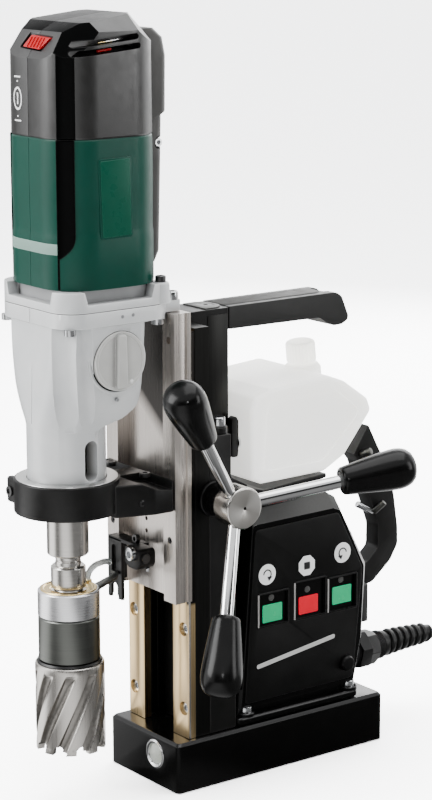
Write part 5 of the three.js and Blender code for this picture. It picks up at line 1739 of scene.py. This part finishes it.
def coolant_bracket():
    """Slotted plate and screw block on the slide."""
    shape = xz([(-31.5, 124.6), (-28.6, 124.6), (-28.6, 127), (-19.6, 127), (-19.6, 124.6),
                (-15.2, 124.6), (-15.2, 167.6), (-31.5, 167.6)])
    notch = xz([(-27.6, 120), (-20.6, 120), (-20.6, 133.6), (-24.1, 136.6), (-27.6, 133.6)])
    plate = cut(prism("part", shape, -96.6, -94.2, "y"),
                prism("cut", xz(rrect(-26.8, -21.6, 140, 162.5, 2.5, 6)), -110, -80, "y"),
                prism("cut", notch, -110, -80, "y"))
    bevel(plate, 0.5, 3, 50)
    top = bevel(box("part", -31.5, 2.5, -96.6, -86.0, 165.6, 168.0), 0.5, 3, 50)
    back = bevel(box("part", -34, -15.6, -94.6, -91.3, 140.0, 166.0), 0.6, 3, 50)
    side = xz(outline([(0.5, 157.5), (5.0, 154.4), (14.6, 154.4), (17.6, 158), (17.6, 168.4),
                       (0.5, 168.6)], [1.4, 2.5, 4, 3, 3.5, 1.4], 5))
    block = bevel(prism("part", side, -104.6, -91.3, "y"), 0.7, 3, 50)
    finish(merge("bracket_body", [plate, top, back, block]),
           "black_powder", "carriage", "coolant_bracket")
    screw("bracket_screw", (10.2, -104.6, 165.0), "-y", "carriage", 5.6, 3.4)
    seg = 48
    rings = [(0, 0, False), (3.4, 0, False), (3.6, 0.4, True), (3.6, 3.6, True),
             (3.2, 4.2, False), (0, 4.4, False)]
    thumb = solid("bracket_thumb", knurled(rings, seg, ratio=0.93), bands(len(rings), seg),
                  (14.6, -99.6, 162.5), "x")
    finish(thumb, "screw_dark", "carriage", angle=28)
    knob = rod("bracket_knob", (14.0, -95.4, 154.4), (16.4, -96.4, 153.4), 1.6, 24)
    finish(bevel(knob, 0.6, 3), "zinc", "carriage")
    screw("bracket_screw_back", (-3.4, -91.0, 170.5), "-y", "carriage", 3.6, 3.0, "screw_dark")


def coolant_feed():
    """Folded strip from the ring to the bracket, clear hose and its fitting."""
    shape = outline([(-2.6, -131.0), (5.4, -130.6), (-10.4, -103.2), (-18.4, -96.8),
                     (-25.6, -96.8), (-25.6, -98.9), (-18.8, -99.2)],
                    [0.5, 0.5, 3, 3, 0.5, 0.5, 3], 4)
    finish(bevel(prism("ring_arm", shape, 142.4, 144.6), 0.4, 3, 50),
           "dark_steel", "carriage")
    path = [(-4, -131.5, 144.0), (-4, -131.8, 149.5), (-3.4, -130.4, 154.4), (-6.4, -124, 156.6),
            (-12.4, -114.6, 155.6), (-19.6, -106, 153.2), (-25.4, -100.4, 150.6),
            (-28.4, -97.8, 149.0)]
    finish(sweep("coolant_line", path, 2.1, 28, sub=10),
           "clear_hose", "carriage", "coolant_hose", 60)
    fitting = rod("hose_fitting", (-4, -131.5, 143.5), (-4, -131.7, 148.8), 2.9)
    finish(bevel(fitting, 0.5, 3), "gold", "carriage")


# =====================================================================================
# feed lever
# =====================================================================================
KNOB_START = 75         # distance of the knob's foot along its rod
# radius, distance from the knob's foot
KNOB = [(0, 10), (4.55, 10), (4.55, 0.4), (7.6, 0), (8.8, 0.35), (9.5, 1.4), (9.8, 3.4),
        (10.7, 10), (11.8, 18), (12.8, 26), (13.5, 32), (13.95, 38), (13.9, 41.5),
        (13.3, 45), (12.0, 48.2), (9.8, 50.7), (6.8, 52.2), (3.2, 52.9), (0, 53.0)]
KNOB_INSERT = [(4.5, -0.7), (6.0, -0.7), (6.4, 0.4), (4.5, 0.4), (4.5, -0.7)]


def feed_lever():
    """Hub with three chromed rods, swept outwards, each in its own bore and with a knob."""
    profile = [(0, 53), (7.1, 53), (7.1, 38.6), (10.3, 38.6), (10.8, 39.1), (10.8, 52.6),
               (12.9, 53.0), (14.1, 54.2), (14.1, 69.2), (13.6, 69.8), (13.0, 70.0),
               (1.1, 70.0), (0.9, 68.6), (0, 68.2)]
    # the small centre mark at the end of the profile stays sharp
    rounded = fillet(profile, {i: 0.25 for i in range(1, 11)}, 2)
    hub = lathe("hub_body", rounded, 128, FEED, "x")
    root = (59.6, *FEED[1:])
    outward = Vector((1, 0, 0))
    knob = [(radius, KNOB_START + z) for radius, z in KNOB]
    insert = fillet([(radius, KNOB_START + z) for radius, z in KNOB_INSERT], 0.1, 2)
    sweep_angle = math.radians(19)
    bores = []
    for k in range(3):
        angle = math.radians(8.5 + 120 * k)
        radial = Vector((0, math.cos(angle), math.sin(angle)))
        along = radial * math.cos(sweep_angle) + outward * math.sin(sweep_angle)
        side = along.cross(outward).normalized()
        turn = basis(side.cross(along).normalized(), side, along)
        bores.append(cylinder("cut", 4.7, 5.2, 40, 40, root, turn))
        shaft = fillet([(0, 5.5), (4.5, 5.5), (4.5, 90), (0, 90)], 0.3, 3)
        finish(lathe(f"rod_{k + 1}", shaft, 48, root, turn),
               "chrome", "feed_lever", f"feed_rod_{k + 1}")
        finish(lathe(f"knob_{k + 1}", knob, 96, root, turn),
               "phenolic", "feed_lever", f"feed_knob_{k + 1}", 50)
        finish(lathe(f"knob_insert_{k + 1}", insert, 48, root, turn),
               "screw_dark", "feed_lever")
    cut(hub, *bores)
    bevel(hub, 0.2, 2, 35)
    finish(hub, "turned_steel hub_face phenolic", "feed_lever", "feed_hub")

    # the small centre mark is painted black as painted shade in its hole
    def dark(pos, normal):
        reach = math.hypot(pos.y - FEED[1], pos.z - FEED[2])
        return pos.x < 52.95 or (pos.x > 60 and reach < 1.2)

    paint(hub, lambda pos, normal: pos.x > 69.6 and normal.x > 0.9, dark)


# =====================================================================================
# CAD nodes that keep their mesh, with rounded edges and a finish of their own
# =====================================================================================
CARRIED = {
    "magnet_coil": "copper", "coil_potting": "resin", "guide_rail_left": "rail_steel",
    "guide_rail_right": "rail_steel", "circuit_board": "pcb", "slide_keeper": "rail_steel",
    "gear_rack": "iron", "stator": "iron", "armature": "iron", "spindle_gear": "iron",
    "pinion_shaft": "iron"}


def carried_nodes():
    for name, mat in CARRIED.items():
        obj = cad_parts[name]
        obj.data.materials.clear()
        obj.data.materials.append(MATS[mat])
        obj.modifiers.new("weld", "WELD").merge_threshold = 1e-6
        add_bevel(obj, width=0.0003, segments=2, angle=35)
        obj.modifiers.new("wn", "WEIGHTED_NORMAL")


# =====================================================================================
# stage, light, camera (metres)
# =====================================================================================
# name, location, target, width, height, power in watts
LIGHTS = (
    ("key", (-0.5, -1.5, 1.1), (0, -0.1, 0.25), 0.9, 1.2, 34),
    ("top", (0.1, 0.2, 1.7), (0, 0, 0.2), 1.4, 1.4, 20),
    ("back", (-0.9, 1.3, 0.9), (0, 0, 0.25), 1.2, 1.2, 18),
    ("side", (1.3, 1.0, 0.7), (0, 0, 0.25), 0.5, 1.0, 9),
    ("spot", (1.25, -0.75, 0.85), (0, -0.05, 0.25), 0.07, 0.07, 2.2),
)


def make_floor():
    mesh = bpy.data.meshes.new("floor")
    corners = [(x, y, -0.0005) for x, y in rect(-40, 40, -40, 40)]
    mesh.from_pydata(corners, [], [(0, 1, 2, 3)])
    mesh.materials.append(MATS["floor"])
    link_object("floor", mesh)


def make_lights():
    for name, location, target, width, height, power in LIGHTS:
        light = bpy.data.lights.new(name, "AREA")
        light.shape = "RECTANGLE"
        light.size, light.size_y, light.energy = width, height, power
        obj = link_object(name, light)
        obj.location = location
        aim = Vector(target) - Vector(location)
        obj.rotation_euler = aim.to_track_quat("-Z", "Y").to_euler()


def make_world():
    """Studio surround: dark towards the camera, bright elsewhere; white where it is seen."""
    world = bpy.data.worlds.new("studio")
    bpy.context.scene.world = world
    world.use_nodes = True
    sky = Nodes(world.node_tree)
    x, y, z = sky.split(sky.node("TexCoord").outputs["Generated"])
    azimuth = sky.calc("ARCTAN2", y, x)

    def sector(rise, fall, height):
        """1 between the azimuths (radians) and below the height, with soft borders."""
        soft = [sky.span(value, to=(0.0, 1.0), over=ends, interpolation_type="SMOOTHSTEP")
                for value, ends in ((azimuth, rise), (azimuth, fall), (z, height))]
        return sky.calc("MULTIPLY", sky.calc("MULTIPLY", soft[0], soft[1]), soft[2])

    dark = sector(rise=(-1.55, -1.20), fall=(1.22, 0.98), height=(0.62, 0.45))
    rear = sector(rise=(1.12, 1.32), fall=(2.15, 1.9), height=(0.70, 0.5))
    front = sector(rise=(-2.70, -2.45), fall=(-1.70, -1.95), height=(0.75, 0.55))
    level = sky.span(dark, to=(1.15, 0.04), over=(0.0, 1.0))
    level = sky.calc("MULTIPLY_ADD", rear, 1.6, level)
    level = sky.calc("MULTIPLY_ADD", front, 1.5, level)
    is_camera = sky.node("LightPath").outputs["Is Camera Ray"]
    background = sky.tree.nodes["Background"]
    sky.feed(background.inputs["Color"], (0.985, 0.99, 1.0))
    sky.feed(background.inputs["Strength"],
             sky.span(is_camera, to=(level, 6.0), over=(0.0, 1.0)))


def make_camera():
    lens_data = bpy.data.cameras.new("camera")
    lens_data.sensor_width, lens_data.sensor_fit, lens_data.lens = 36, "AUTO", 107.903
    lens_data.clip_start, lens_data.clip_end = 0.05, 20
    right = Vector((0.597814, 0.801631, -0.002547))
    up = Vector((-0.169995, 0.129877, 0.976849))
    backward = Vector((0.783403, -0.583541, 0.213915))
    camera = bpy.data.objects.new("camera", lens_data)
    place = Matrix.Translation((1.280875, -0.981511, 0.607881))
    camera.matrix_world = place @ basis(right, up, backward).to_4x4()
    bpy.context.scene.collection.objects.link(camera)
    bpy.context.scene.camera = camera


for build in (
        make_materials, magnet_base, indicator_eye, column, column_clamps, gib_strips,
        top_cover, handle, feed_bushing, control_case, control_foot, front_panel, buttons,
        panel_labels, case_knobs, magnet_switch, cable_gland, kink_guard, rear_bow, canister,
        canister_cap, cradle, slide, motor_holder, gearbox_shell, neck_slot, flange,
        flange_screws, dial, motor_shell, corner_dark_reflections, front_band, motor_hood, hood_inside,
        slider, front_symbols, rear_spine, turned_parts, cutter, coolant_bracket,
        coolant_feed, feed_lever, carried_nodes, make_floor, make_world, make_lights,
        make_camera):
    build()
